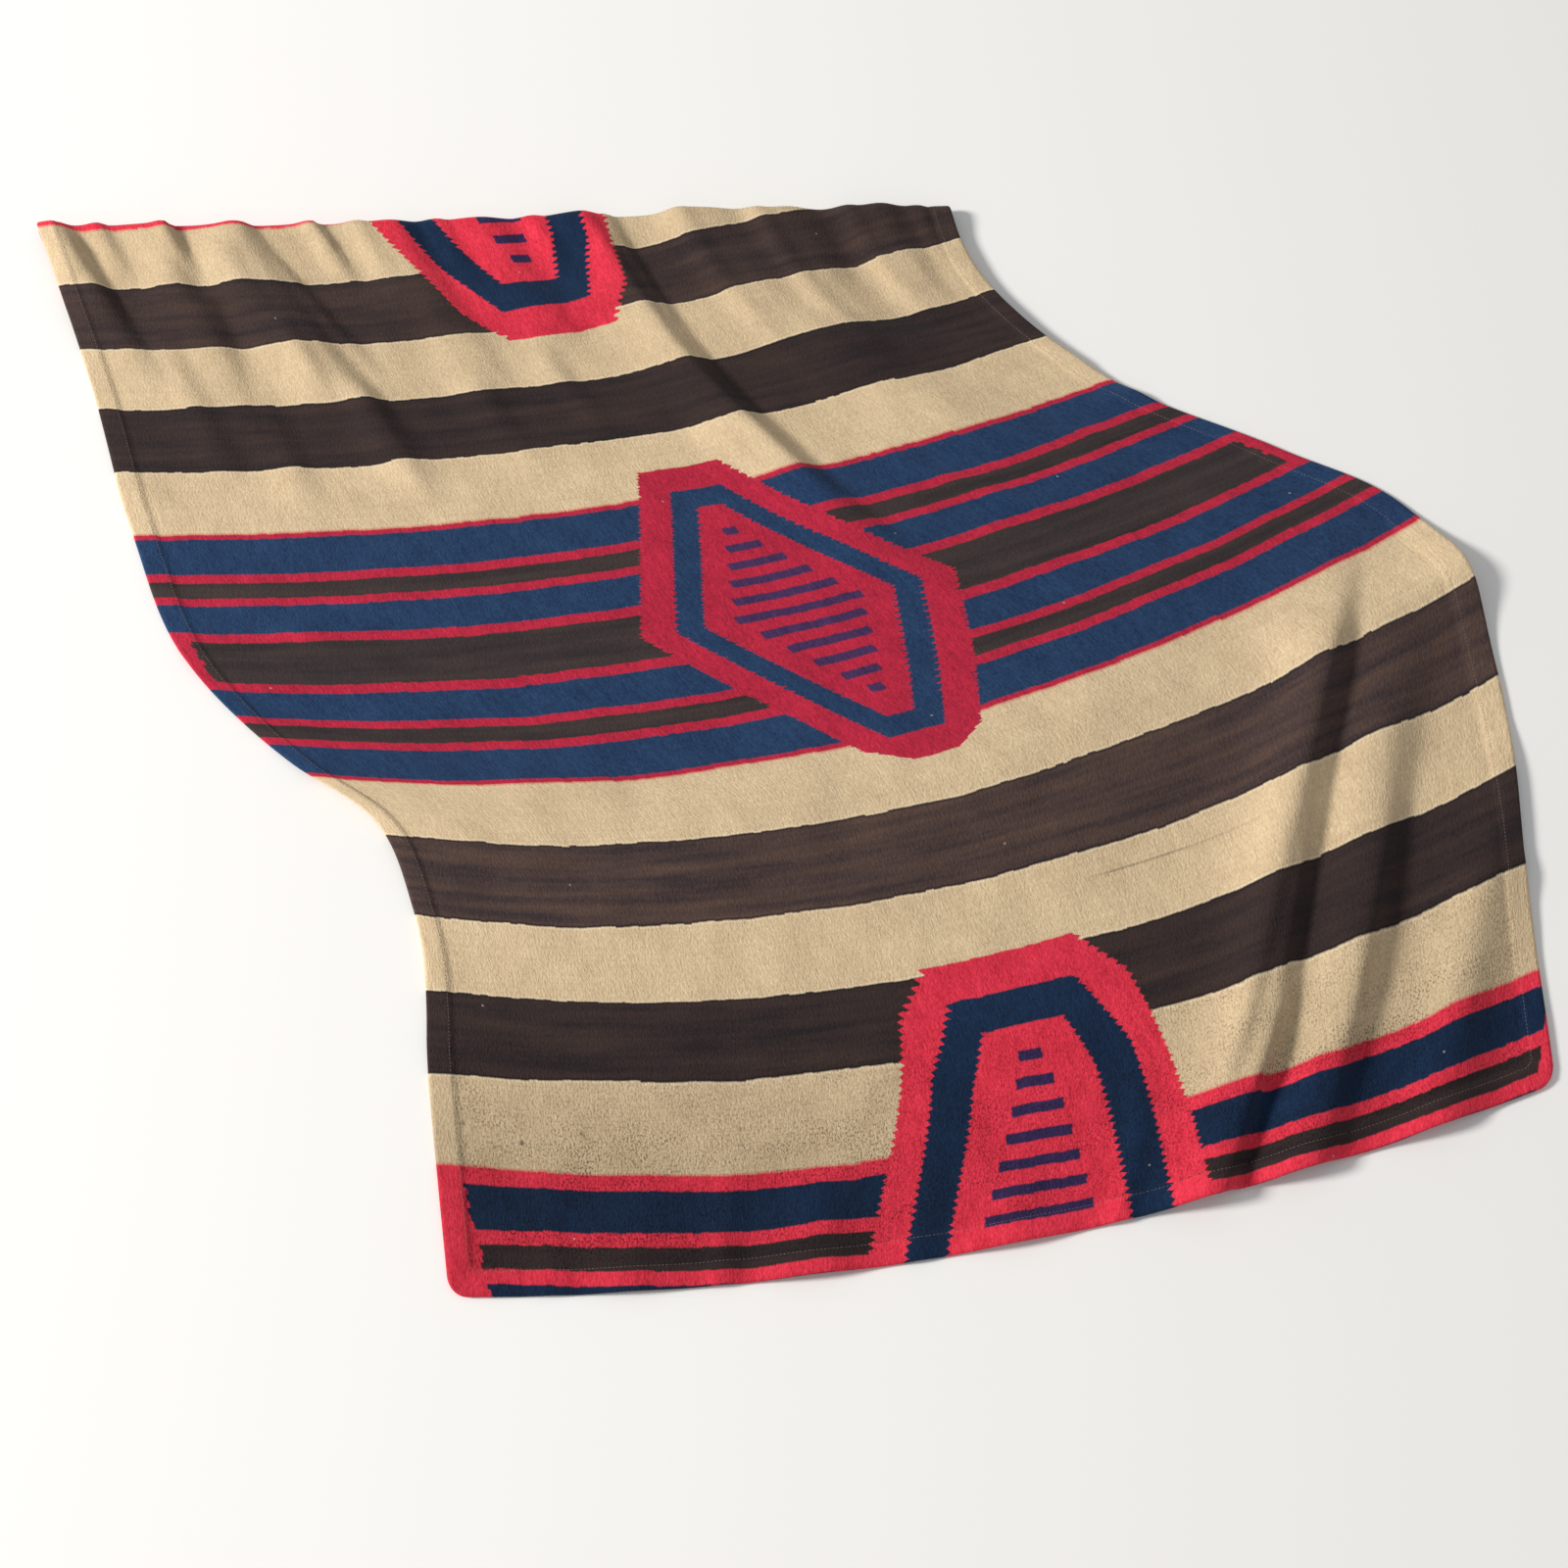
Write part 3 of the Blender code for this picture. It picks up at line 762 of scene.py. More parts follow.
class Graph:
    """Lays out the nodes of one material."""

    MIX_FIRST, MIX_SECOND, MIX_RESULT = 6, 7, 2
    COLUMN_STEP, ROW_STEP, ROWS = 190.0, 170.0, 14

    def __init__(self, name: str) -> None:
        """Starts a material of that name with an empty Principled shader."""
        self.material = bpy.data.materials.new(name)
        self.material.use_nodes = True
        self.tree = self.material.node_tree
        self.shader = self.tree.nodes["Principled BSDF"]
        self.laid = 0

    def node(self, kind: str, **settings: object) -> bpy.types.Node:
        """A new node with its settings, in the next free place of the tree."""
        node = self.tree.nodes.new(kind)
        column, row = divmod(self.laid, self.ROWS)
        node.location = (-self.COLUMN_STEP * (column + 2), -self.ROW_STEP * row)
        self.laid += 1
        for name, value in settings.items():
            setattr(node, name, value)
        return node

    def feed(self, socket: bpy.types.NodeSocket, value: "Value | tuple") -> None:
        """Links a signal to a socket, or sets a plain value on it."""
        if isinstance(value, Signal):
            self.tree.links.new(value.socket, socket)
        else:
            socket.default_value = value

    def math(self, operation: str, *values: Value, clamp: bool = False) -> Signal:
        """One step of arithmetic."""
        node = self.node("ShaderNodeMath", operation=operation, use_clamp=clamp)
        for socket, value in zip(node.inputs, values):
            self.feed(socket, value)
        return Signal(self, node.outputs[0])

    def place(self, x: Value, y: Value) -> Signal:
        """Two numbers as one flat place."""
        node = self.node("ShaderNodeCombineXYZ")
        for socket, value in zip(node.inputs, (x, y)):
            self.feed(socket, value)
        return Signal(self, node.outputs[0])

    def cut_place(self) -> tuple[Signal, Signal]:
        """The place across and along the cut cloth, in metres."""
        flat = self.node("ShaderNodeUVMap", uv_map=CLOTH_MAP)
        parts = self.node("ShaderNodeSeparateXYZ")
        self.tree.links.new(flat.outputs[0], parts.inputs[0])
        s, t = (Signal(self, parts.outputs[i]) * CLOTH_MAP_SIZE for i in (0, 1))
        return s, t

    def noise(self, place: Signal, detail: float = 2.0, roughness: float = 0.5) -> Signal:
        """Soft noise round one half, whose marks are about one unit of the place wide."""
        node = self.node("ShaderNodeTexNoise", noise_dimensions="2D")
        self.feed(node.inputs["Vector"], place)
        node.inputs["Scale"].default_value = 1.0
        node.inputs["Detail"].default_value = detail
        node.inputs["Roughness"].default_value = roughness
        return Signal(self, node.outputs[0])

    def texture(self, kind: Texture, s: Signal, t: Signal) -> Signal:
        """A texture at the place s across and t along the cloth."""
        return self.noise(self.place(s * kind.across, t * kind.along), kind.detail, kind.roughness)

    def chance(self, number: Signal) -> Signal:
        """A fixed random number from 0 to 1 for each whole number."""
        node = self.node("ShaderNodeTexWhiteNoise", noise_dimensions="1D")
        self.feed(node.inputs["W"], self.math("FLOOR", number))
        return Signal(self, node.outputs["Value"])

    def under(self, value: Value, limit: Value, soft: float) -> Signal:
        """1 where the value is under the limit and 0 over it, with an edge that is soft."""
        gap = self.math("SUBTRACT", limit, value)
        return self.math("MULTIPLY_ADD", gap, 1 / soft, 0.5, clamp=True)

    def stretch(self, value: Signal, low: float, high: float) -> Signal:
        """The value's way from low to high, as 0 to 1."""
        span = 1 / (high - low)
        return self.math("MULTIPLY_ADD", value, span, -low * span, clamp=True)

    def blend(self, share: Value, first: "Signal | Colour", second: "Signal | Colour") -> Signal:
        """The first colour turning into the second as the share goes from 0 to 1."""
        node = self.node("ShaderNodeMix", data_type="RGBA")
        self.feed(node.inputs[0], share)
        for index, colour in ((self.MIX_FIRST, first), (self.MIX_SECOND, second)):
            self.feed(node.inputs[index], colour if isinstance(colour, Signal) else (*colour, 1.0))
        return Signal(self, node.outputs[self.MIX_RESULT])

    def gain(self, colour: Signal, factor: Signal) -> Signal:
        """The colour made lighter or darker by a factor."""
        node = self.node("ShaderNodeVectorMath", operation="SCALE")
        self.feed(node.inputs[0], colour)
        self.feed(node.inputs["Scale"], factor)
        return Signal(self, node.outputs[0])

    def bump(self, height: Signal, distance: float, strength: float) -> Signal:
        """Normals of a relief that is distance high."""
        node = self.node("ShaderNodeBump")
        node.inputs["Strength"].default_value = strength
        node.inputs["Distance"].default_value = distance
        self.feed(node.inputs["Height"], height)
        return Signal(self, node.outputs[0])

    def finished(self, inputs: dict[str, "Value | tuple"]) -> bpy.types.Material:
        """The material, once its shader's inputs are linked or set."""
        for name, value in inputs.items():
            self.feed(self.shader.inputs[name], value)
        return self.material


class Dye(Enum):
    """The dyes of the print."""

    IVORY = "ivory"
    CREAM = "cream"
    BLUSH = "blush"
    BROWN = "brown"
    UMBER = "umber"
    RED = "red"
    BLUE = "blue"
    OLIVE = "olive"
    PLUM = "plum"


class Grain(Enum):
    """How a dye's two shades are spread over the cloth."""

    WOVEN = "fine threads across, as in a weave"
    STREAKED = "long streaks across"
    BRUSHED = "marks of the brushed nap"


@dataclass(frozen=True)
class Shade:
    """A dye in the end bands and in the middle band, each as a light and a dark shade."""

    grain: Grain
    end_light: Colour
    end_dark: Colour
    middle_light: Colour
    middle_dark: Colour


SHADES = {
    Dye.IVORY: Shade(Grain.WOVEN, linear(226, 202, 164), linear(194, 169, 135),
                     linear(228, 204, 166), linear(196, 171, 138)),
    Dye.CREAM: Shade(Grain.WOVEN, linear(240, 220, 186), linear(214, 192, 158),
                     linear(240, 220, 186), linear(214, 192, 158)),
    Dye.BLUSH: Shade(Grain.WOVEN, linear(228, 158, 132), linear(204, 136, 114),
                     linear(222, 158, 132), linear(200, 136, 114)),
    # Brown's and umber's end shades also make the dark plain brown stripes, which are partly print and partly
    # painted shade.
    Dye.BROWN: Shade(Grain.STREAKED, linear(48, 37, 36), linear(30, 24, 27),
                     linear(92, 71, 62), linear(50, 42, 46)),
    Dye.UMBER: Shade(Grain.STREAKED, linear(36, 27, 26), linear(24, 18, 20),
                     linear(58, 42, 38), linear(36, 28, 30)),
    Dye.RED: Shade(Grain.BRUSHED, linear(249, 63, 86), linear(200, 38, 58),
                   linear(201, 42, 69), linear(156, 28, 53)),
    Dye.BLUE: Shade(Grain.BRUSHED, linear(20, 46, 78), linear(9, 29, 54),
                    linear(40, 68, 104), linear(24, 45, 78)),
    Dye.OLIVE: Shade(Grain.STREAKED, linear(60, 46, 45), linear(37, 28, 31),
                     linear(68, 57, 55), linear(46, 39, 41)),
    Dye.PLUM: Shade(Grain.BRUSHED, linear(62, 46, 92), linear(38, 28, 64),
                    linear(80, 52, 96), linear(54, 36, 74)),
}


@dataclass(frozen=True)
class Stripe:
    """One stripe of the print: its dye, and how far from the cloth's middle it ends."""

    dye: Dye
    ends_at: float


def brown_stripe(starts_at: float) -> list[Stripe]:
    """A brown stripe with its darker edges and the thin light lines beside them."""
    widths = ((Dye.CREAM, 0.0020), (Dye.UMBER, 0.0022), (Dye.BROWN, 0.0852),
              (Dye.UMBER, 0.0026), (Dye.CREAM, 0.0020))
    stripes = []
    for dye, width in widths:
        starts_at += width
        stripes.append(Stripe(dye, starts_at))
    return stripes


STRIPES = (
    Stripe(Dye.OLIVE, 0.0305),
    Stripe(Dye.RED, 0.0435),
    Stripe(Dye.BLUE, 0.0845),
    Stripe(Dye.RED, 0.0955),
    Stripe(Dye.OLIVE, 0.1175),
    Stripe(Dye.RED, 0.1295),
    Stripe(Dye.BLUE, 0.1785),
    Stripe(Dye.RED, 0.1850),
    Stripe(Dye.BLUSH, 0.1872),
    Stripe(Dye.IVORY, 0.2730),
    *brown_stripe(0.2730),
    Stripe(Dye.IVORY, 0.4480),
    *brown_stripe(0.4480),
    Stripe(Dye.IVORY, 0.6228),
    Stripe(Dye.BLUSH, 0.6250),
    Stripe(Dye.RED, 0.6415),
    Stripe(Dye.BLUE, 0.6855),
    Stripe(Dye.RED, 0.7000),
    Stripe(Dye.OLIVE, 0.7250),
    Stripe(Dye.RED, 0.7400),
    Stripe(Dye.BLUE, 0.7700),
)


@dataclass(frozen=True)
class Step:
    """One layer of a medallion, which starts at a depth behind its flat end.

    Its half width is the smaller of two straight lines, each given by its half width at
    the flat end and its growth with depth."""

    dye: Dye
    starts_at: float
    near_half: float
    near_growth: float
    far_half: float
    far_growth: float


@dataclass(frozen=True)
class Medallion:
    """A stepped medallion with toothed sides and a ladder of short bars in it.

    near_corner is its half width at the flat end nearest the front, with cut corners. The
    far one of a pair lies aside by far_aside, leans by far_lean, ends far_reach sooner and
    is narrower by far_narrow at its flat end."""

    centre: float
    flat_end: float
    inward: int
    tooth_pitch: float
    tooth_depth: float
    near_corner: float
    steps: tuple[Step, ...]
    first_bar: float
    bar_pitch: float
    bar_thickness: float
    bar_half: float
    bar_growth: float
    last_bar: int
    far_aside: float = 0.0
    far_lean: float = 0.0
    far_reach: float = 0.0
    far_narrow: float = 0.0


MEDALLIONS = (
    Medallion(0.685, 0.222, -1, 0.0085, 0.0052, 0.026,
              (Step(Dye.RED, 0.000, 0.052, 0.590, 0.052, 0.590),
               Step(Dye.BLUE, 0.034, 0.012, 0.590, 0.012, 0.590),
               Step(Dye.RED, 0.061, -0.021, 0.590, -0.021, 0.590)),
              0.0995, 0.0245, 0.0108, 0.0085, 0.530, 5),
    Medallion(0.660, 0.442, 1, 0.0085, 0.0058, 0.5,
              (Step(Dye.RED, 0.000, 0.0860, 0.900, 0.1180, 0.245),
               Step(Dye.BLUE, 0.041, 0.0499, 0.526, 0.0890, 0.200),
               Step(Dye.RED, 0.080, 0.0145, 0.396, 0.0415, 0.200)),
              0.1150, 0.0292, 0.0120, 0.0135, 0.276, 6,
              far_aside=0.0015, far_lean=0.1225, far_reach=0.008, far_narrow=0.0115),
)


@dataclass(frozen=True)
class Mark:
    """A small dark mark that the print carries, and how dark it is."""

    s: float
    t: float
    radius: float
    depth: float


MARKS = (
    Mark(0.094, 0.154, 0.0026, 0.45),
    Mark(0.064, 0.148, 0.0022, 0.28),
    Mark(0.033, 0.172, 0.0022, 0.35),
    Mark(0.034, 0.150, 0.0018, 0.25),
    Mark(0.160, 0.164, 0.0030, 0.25),
    Mark(0.330, 0.165, 0.0024, 0.22),
)


@dataclass(frozen=True)
class LooseWeft:
    """A loose dark thread across the cloth, and where along it the thread shows and goes."""

    t: float = 0.368
    radius: float = 0.0012
    depth: float = 0.42
    shows: tuple[float, float] = (0.78, 0.81)
    goes: tuple[float, float] = (1.00, 0.93)


CLOUD = Texture(24, 17, 3.0)
NAP = Texture(360, 190, 2.0)
BRUSH_MARKS = Texture(130, 48, 2.0)
THREADS = Texture(7, 420, 1.0, 0.5)
STREAKS = Texture(4.2, 62, 3.0)
SLOW_WANDER = Texture(7, 5, 2.0, 0.5)
FLECKS = Texture(470, 330, 1.0)
FRONT_SHADE_PATCHES = Texture(16, 30, 2.0)
PILE = Texture(400, 220, 2.0)
BRUSHED_PILE = Texture(80, 45, 3.0, 0.55)
FLEECE_CLOUD = Texture(15, 15, 2.0, 0.5)


@dataclass(frozen=True)
class PrintedFlannel:
    """The face of the throw: brushed flannel with the striped and stepped print."""

    cut: CutCloth = CutCloth()
    weft: LooseWeft = LooseWeft()
    edge_soft: float = 0.0018
    specular: float = 0.18
    roughness: float = 0.92
    sheen: float = 0.09
    sheen_roughness: float = 0.45
    nap_height: float = 0.0022
    nap_strength: float = 0.65
    brown_soft: float = 0.01
    front_brown_ends: float = 0.352
    second_brown_ends: float = 1.167
    far_brown_starts: float = 1.0
    slip_least: float = 0.006
    slip_more: float = 0.014
    slip_across: tuple[float, float] = (0.0, 0.35)
    slip_along: tuple[float, float] = (0.22, 0.135)
    far_slip: float = 0.003
    far_slip_along: tuple[float, float] = (1.31, 1.35)
    notch_rows: float = 150.0
    notch_depth: float = 0.006
    middle_closed: float = 0.017
    band_starts: float = 0.639
    # Places along the cut between which the painted shade at the front, with its stronger flecks, fades in.
    front_shade_along: tuple[float, float] = (0.34, 0.12)

    def variations(self, graph: Graph, s: Signal, t: Signal) -> dict[Grain, Signal]:
        """How far each place is from the light to the dark shade, for each grain."""
        cloud, nap, marks, threads, streaks = (
            graph.texture(kind, s, t) for kind in (CLOUD, NAP, BRUSH_MARKS, THREADS, STREAKS))
        return {
            Grain.WOVEN: graph.stretch(cloud * 0.35 + nap * 0.45 + marks * 0.25 + threads * 0.17, 0.40, 0.82),
            Grain.STREAKED: graph.stretch(streaks * 0.75 + cloud * 0.2 + nap * 0.35, 0.42, 0.88),
            Grain.BRUSHED: graph.stretch(nap * 0.55 + marks * 0.35 + cloud * 0.3, 0.42, 0.80),
        }

    def plain_brown_and_painted_shade(self, graph: Graph, t: Signal) -> Signal:
        """How plain and dark the brown stripes are: all of them but the long one at the front. The dark plain
        shade is partly the print and partly painted shade, most in the front stripe and towards the far end.
        """
        soft = self.brown_soft
        front = graph.under(t, self.front_brown_ends, soft)
        second = graph.under(self.cut.length / 2, t, soft) * graph.under(t, self.second_brown_ends, soft)
        far = graph.under(self.far_brown_starts, t, soft)
        # The shares are partly the print's plain brown and partly painted shade at the front and the far end.
        return front * 0.68 + second * 0.28 + far * 0.42

    def dyes(self, graph: Graph, grains: dict[Grain, Signal], out: Signal, t: Signal) -> dict[Dye, Signal]:
        """The colour of each dye at every place."""
        colours = {}
        endwards = graph.stretch(out, 0.2, 0.55)
        plain = self.plain_brown_and_painted_shade(graph, t)
        for dye, shade in SHADES.items():
            # Brown and umber take the plain share, which is partly painted shade.
            share = plain if dye in (Dye.BROWN, Dye.UMBER) else endwards
            light = graph.blend(share, shade.middle_light, shade.end_light)
            dark = graph.blend(share, shade.middle_dark, shade.end_dark)
            colours[dye] = graph.blend(grains[shade.grain], light, dark)
        return colours

    def wobble(self, graph: Graph, s: Signal, t: Signal) -> Signal:
        """How far the print's edges wander along the cloth, with the small steps of a weave."""
        slow = graph.texture(SLOW_WANDER, s, t) - 0.5
        short_steps = graph.noise(graph.place(graph.math("FLOOR", s * 110) * 3.7, t * 9), 0.0) - 0.5
        long_steps = graph.noise(graph.place(graph.math("FLOOR", s * 8.7) * 5.3, t * 6), 0.0) - 0.5
        return slow * 0.0075 + short_steps * 0.0022 + long_steps * 0.0040

    def slip(self, graph: Graph, s: Signal, t: Signal) -> Signal:
        """How far the end bands were printed out from their even places."""
        across = graph.stretch(s, *self.slip_across) * self.slip_more + self.slip_least
        front = across * graph.stretch(t, *self.slip_along)
        return front + graph.stretch(t, *self.far_slip_along) * self.far_slip

    def striped(self, graph: Graph, out: Signal, dyes: dict[Dye, Signal]) -> Signal:
        """The stripes, from the middle of the cloth outwards."""
        colour = dyes[STRIPES[0].dye]
        for near, stripe in zip(STRIPES, STRIPES[1:]):
            beyond = graph.under(near.ends_at, out, self.edge_soft)
            colour = graph.blend(beyond, colour, dyes[stripe.dye])
        return colour

    def closed_ends(self, graph: Graph, s: Signal, t: Signal, out: Signal) -> Signal:
        """Where red closes the bands at the side hems."""
        notch = (graph.chance(t * self.notch_rows) - 0.5) * self.notch_depth
        left, right = s, self.cut.width - s
        nearest = graph.math("MINIMUM", left, right)
        soft = self.edge_soft
        closed = graph.under(nearest, notch + self.middle_closed, soft)
        middle = closed * graph.under(out, STRIPES[0].ends_at, soft)
        band = graph.under(self.band_starts, out, soft)
        corner_left = graph.under(left, (out - 0.645) * 0.19 + 0.027 + notch, soft)
        corner_right = graph.under(right, (out - 0.668) * 0.34 + notch * 0.4, soft)
        ends = band * graph.math("MAXIMUM", corner_left, corner_right)
        return graph.math("MAXIMUM", middle, ends)

    def medallion(self, graph: Graph, kind: Medallion, colour: Signal, s: Signal, t: Signal,
                  out: Signal, dyes: dict[Dye, Signal]) -> Signal:
        """One kind of medallion laid over the stripes."""
        soft = self.edge_soft
        far_side = graph.under(self.cut.length / 2, t, soft)
        depth = (out - kind.flat_end) * kind.inward + far_side * kind.far_reach
        row = t / kind.tooth_pitch
        share = graph.math("FRACT", row)
        tooth = graph.math("MINIMUM", share * 3.2, (1.0 - share) * 1.45) - 0.5
        uneven = graph.chance(row) + 0.45
        aside = (kind.far_aside - depth * kind.far_lean) * far_side
        narrow = (1.0 - depth * 5.0) * far_side * kind.far_narrow
        across = abs(s - kind.centre - aside)
        toothed = across + tooth * uneven * kind.tooth_depth + narrow
        rows_deep = (graph.math("FLOOR", depth / kind.tooth_pitch) + 0.5) * kind.tooth_pitch
        corner = depth * 1.7 + far_side + kind.near_corner
        for step in kind.steps:
            half = graph.math("MINIMUM", rows_deep * step.near_growth + step.near_half,
                              rows_deep * step.far_growth + step.far_half)
            half = graph.math("MINIMUM", half, corner - step.starts_at * 1.2)
            inside = graph.under(toothed, half, soft) * graph.under(step.starts_at, depth, soft)
            colour = graph.blend(inside, colour, dyes[step.dye])
        rung = graph.math("ROUND", (depth - kind.first_bar) / kind.bar_pitch)
        rung = graph.math("MINIMUM", graph.math("MAXIMUM", rung, 0.0), float(kind.last_bar))
        off = abs(depth - kind.first_bar - rung * kind.bar_pitch)
        half = rung * (kind.bar_pitch * kind.bar_growth) + kind.bar_half
        bar_across = abs(s - kind.centre - aside * 0.5) + tooth * 0.001
        bar = graph.under(off, kind.bar_thickness / 2, soft) * graph.under(bar_across, half, soft)
        return graph.blend(bar, colour, dyes[Dye.PLUM])

    def lint(self, graph: Graph, s: Signal, t: Signal) -> Signal:
        """A few pale specks that cling to the nap."""
        cells = graph.node("ShaderNodeTexVoronoi", voronoi_dimensions="2D")
        cells.inputs["Scale"].default_value = 1.0
        graph.feed(cells.inputs["Vector"], graph.place(s * 14, t * 14))
        parts = graph.node("ShaderNodeSeparateXYZ")
        graph.tree.links.new(cells.outputs["Color"], parts.inputs[0])
        chosen = graph.under(0.90, Signal(graph, parts.outputs[0]), 0.02)
        return graph.under(Signal(graph, cells.outputs["Distance"]), 0.016, 0.014) * chosen

    def flecks_marks_and_painted_shade(self, graph: Graph, s: Signal, t: Signal) -> Signal:
        """How light each place is: less in flecks, marks and the loose weft, more on the hem, and less where
        painted shade darkens the front, its left corner and the far end.
        """
        cut, weft = self.cut, self.weft
        flecks = graph.stretch(graph.texture(FLECKS, s, t), 0.50, 0.66)
        front = graph.stretch(t, *self.front_shade_along)
        front_shade_patches = graph.stretch(graph.texture(FRONT_SHADE_PATCHES, s, t), 0.35, 0.68)
        from_side = graph.math("MINIMUM", s, cut.width - s)
        inside = graph.math("MINIMUM", from_side, graph.math("MINIMUM", t, cut.length - t))
        hem = graph.under(inside, cut.seam_inset, 0.002)
        # Flecks in the nap darken every place a little. Towards the front they are darker, in patches, and
        # this part is painted shade.
        dark = (front * (front_shade_patches * 0.34 + 0.10) + 0.08) * flecks * (1.0 - hem * 0.7)
        for mark in MARKS:
            off = graph.math("SQRT", (s - mark.s) * (s - mark.s) + (t - mark.t) * (t - mark.t))
            dark = dark + graph.under(off, mark.radius, mark.radius) * mark.depth
        uneven = graph.stretch(graph.noise(graph.place(s * 22, 0.5), 2.0, 0.6), 0.38, 0.62) * 0.6 + 0.4
        reach = graph.stretch(s, *weft.shows) * graph.stretch(s, *weft.goes)
        line = graph.under(abs(t - weft.t), weft.radius, weft.radius) * reach
        dark = dark + line * uneven * weft.depth
        # Painted shade at the front: darker towards the left half, and most at the front left corner.
        painted_front_shade = graph.stretch(s, 0.65, 0.25) * 0.15 + graph.stretch(s, 0.10, 0.0) * 0.12 + 0.12
        # Painted shade also darkens the far end, from 1.0 along the cut to its full depth at 1.2.
        return 1.0 - dark - front * painted_front_shade - graph.stretch(t, 1.0, 1.2) * 0.08 + hem * 0.08

    def make(self) -> bpy.types.Material:
        """The finish as a material."""
        graph = Graph("printed_flannel")
        s, t = graph.cut_place()
        half = self.cut.length / 2
        out = abs(t + self.wobble(graph, s, t) - half)
        grains = self.variations(graph, s, t)
        dyes = self.dyes(graph, grains, out, t)
        slipped = out - self.slip(graph, s, t)
        colour = self.striped(graph, slipped, dyes)
        colour = graph.blend(self.closed_ends(graph, s, t, slipped), colour, dyes[Dye.RED])
        for kind in MEDALLIONS:
            colour = self.medallion(graph, kind, colour, s, t, out, dyes)
        colour = graph.gain(colour, self.flecks_marks_and_painted_shade(graph, s, t))
        colour = graph.blend(self.lint(graph, s, t) * 0.45, colour, linear(205, 196, 190))
        relief = graph.texture(PILE, s, t) * 0.62 + graph.texture(BRUSHED_PILE, s, t) * 0.34
        return graph.finished({
            "Base Color": colour,
            "Normal": graph.bump(relief, self.nap_height, self.nap_strength),
            "Roughness": self.roughness,
            "Specular IOR Level": self.specular,
            "Sheen Weight": self.sheen,
            "Sheen Roughness": self.sheen_roughness,
        })


@dataclass(frozen=True)
class PlainFleece:
    """The back of the throw: unprinted off-white fleece."""

    light: Colour = linear(232, 227, 218)
    dark: Colour = linear(206, 200, 190)
    tuft: float = 0.0035
    relief: float = 0.0012

    def make(self) -> bpy.types.Material:
        """The finish as a material."""
        graph = Graph("plain_fleece")
        s, t = graph.cut_place()
        tufts = graph.noise(graph.place(s / self.tuft, t / self.tuft), 3.0, 0.6)
        cloud = graph.texture(FLEECE_CLOUD, s, t)
        share = graph.stretch(tufts * 0.7 + cloud * 0.3, 0.3, 0.7)
        return graph.finished({
            "Base Color": graph.blend(share, self.light, self.dark),
            "Normal": graph.bump(tufts, self.relief, 0.6),
            "Roughness": 0.95,
            "Sheen Weight": 0.2,
        })


@dataclass(frozen=True)
class SewingThread:
    """Matt polyester thread, twisted, of a muted colour that suits every stripe."""

    light: Colour = linear(142, 118, 108)
    dark: Colour = linear(100, 80, 75)
    twist: float = 2600.0

    def make(self) -> bpy.types.Material:
        """The finish as a material, its twist read from the piece's own place."""
        graph = Graph("sewing_thread")
        place = graph.node("ShaderNodeTexCoord")
        parts = graph.node("ShaderNodeSeparateXYZ")
        graph.tree.links.new(place.outputs["Object"], parts.inputs[0])
        x, y = (Signal(graph, parts.outputs[i]) for i in (0, 1))
        strands = graph.math("SINE", (x + y) * self.twist) * 0.5 + 0.5
        return graph.finished({"Base Color": graph.blend(strands, self.light, self.dark), "Roughness": 0.6})


# The studio

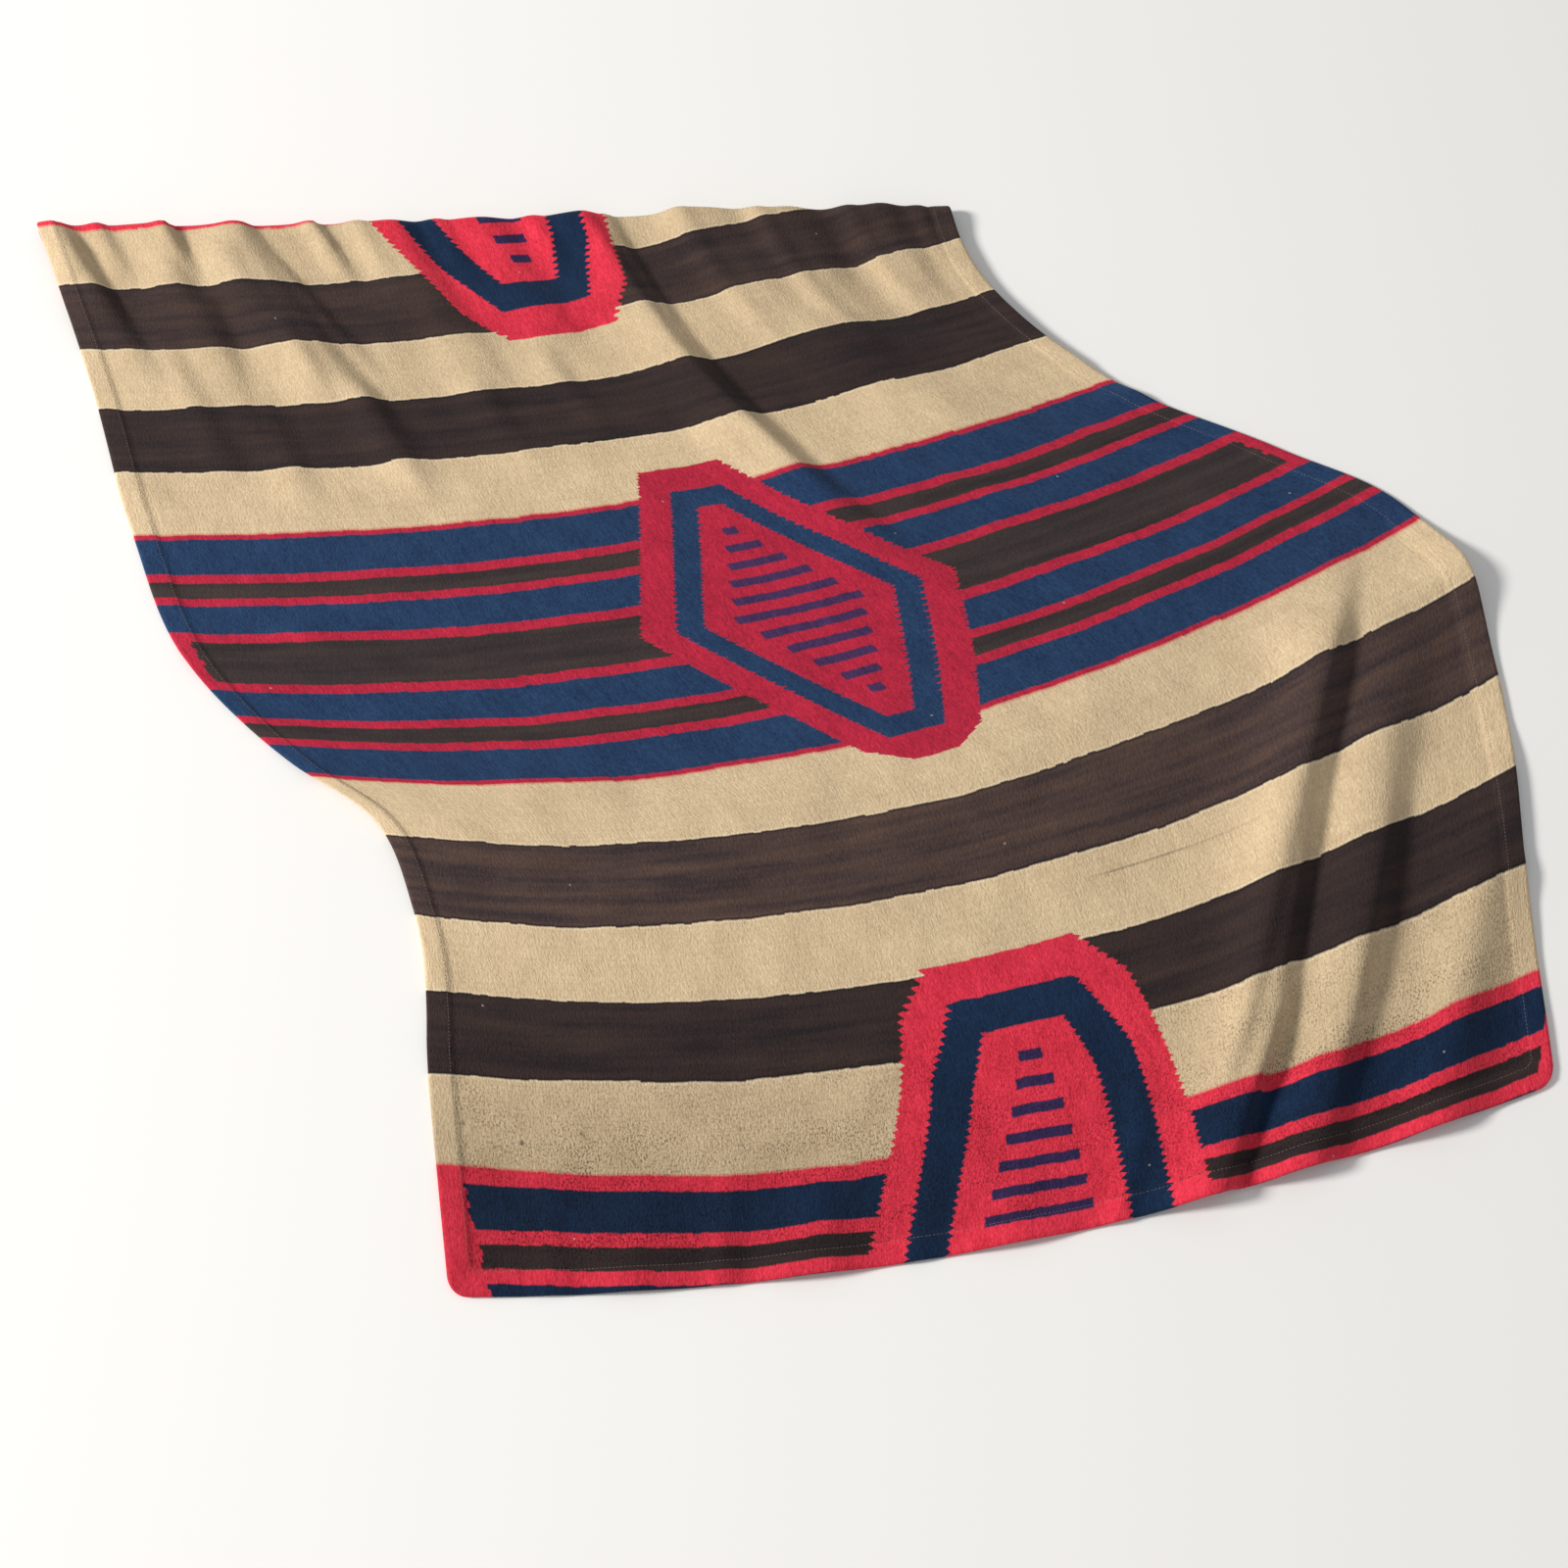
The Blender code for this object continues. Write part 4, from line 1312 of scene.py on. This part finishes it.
@dataclass(frozen=True)
class Studio:
    """A plain pale floor, soft light from the upper left, and the camera above."""

    floor_half: float = 7.0
    floor_drop: float = 0.0004
    floor_colour: Colour = linear(246, 245, 243)
    sky_colour: Colour = (0.96, 0.98, 1.0)
    sky_strength: float = 0.42
    key_place: tuple[float, float, float] = (-8.2, 2.6, 5.0)
    key_aim: tuple[float, float, float] = (0.15, -0.05, 0.0)
    key_size: float = 2.2
    key_power: float = 1150.0
    key_colour: Colour = (1.0, 0.97, 0.93)
    camera_place: tuple[float, float, float] = (-0.36, -1.12, 2.41)
    camera_pitch: float = 68.0
    camera_yaw: float = 19.3
    camera_lens: float = 54.0

    def floor(self) -> bpy.types.Object:
        """The floor, just under the cloth."""
        surface = {"Base Color": (*self.floor_colour, 1.0), "Roughness": 0.85, "Specular IOR Level": 0.2}
        bm = bmesh.new()
        bmesh.ops.create_grid(bm, x_segments=1, y_segments=1, size=self.floor_half)
        bmesh.ops.translate(bm, verts=bm.verts, vec=(0.0, 0.0, -self.floor_drop))
        mesh = bpy.data.meshes.new("floor")
        bm.to_mesh(mesh)
        bm.free()
        mesh.materials.append(Graph("pale_floor").finished(surface))
        floor = placed("floor", mesh)
        return floor

    def lights(self) -> None:
        """The soft key light, and pale light from all round."""
        light = bpy.data.lights.new("key", "AREA")
        light.shape = "DISK"
        light.size = self.key_size
        light.energy = self.key_power
        light.color = self.key_colour
        key = placed("key", light)
        key.location = self.key_place
        aim = np.array(self.key_aim) - np.array(self.key_place)
        key.rotation_euler = Euler(self.towards(aim))
        world = bpy.data.worlds.new("studio")
        world.use_nodes = True
        sky = world.node_tree.nodes["Background"]
        sky.inputs["Color"].default_value = (*self.sky_colour, 1.0)
        sky.inputs["Strength"].default_value = self.sky_strength
        bpy.context.scene.world = world

    def towards(self, way: Array) -> tuple[float, float, float]:
        """Angles that point a light along a way."""
        flat = math.hypot(way[0], way[1])
        return math.pi / 2 + math.atan2(way[2], flat), 0.0, math.atan2(-way[0], way[1])

    def camera(self) -> None:
        """The camera at the photograph's angle, looking down on the laid cloth."""
        lens = bpy.data.cameras.new("camera")
        lens.lens = self.camera_lens
        camera = placed("camera", lens)
        camera.location = self.camera_place
        pitch = math.radians(90.0 - self.camera_pitch)
        camera.rotation_euler = Euler((pitch, 0.0, -math.radians(self.camera_yaw)))
        bpy.context.scene.camera = camera
        bpy.context.scene.view_settings.view_transform = "Standard"


def main() -> None:
    """Builds and dresses the blanket, then sets the studio."""
    logging.basicConfig(level=logging.INFO, format="%(name)s: %(message)s")
    studio = Studio()
    studio.camera()
    studio.lights()
    studio.floor()

    throw = Throw().build(PrintedFlannel().make(), PlainFleece().make())
    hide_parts(CAD_NODE)
    log.info("flannel_throw: %d faces", len(throw.data.polygons))

    thread = SewingThread().make()
    seams = [HemStitches().build(face, thread) for face in ClothFace]
    for piece in (throw, *seams):
        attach(piece, BODY)
    for seam in seams:
        log.info("%s: %d faces", seam.name, len(seam.data.polygons))


if __name__ == "__main__":
    main()
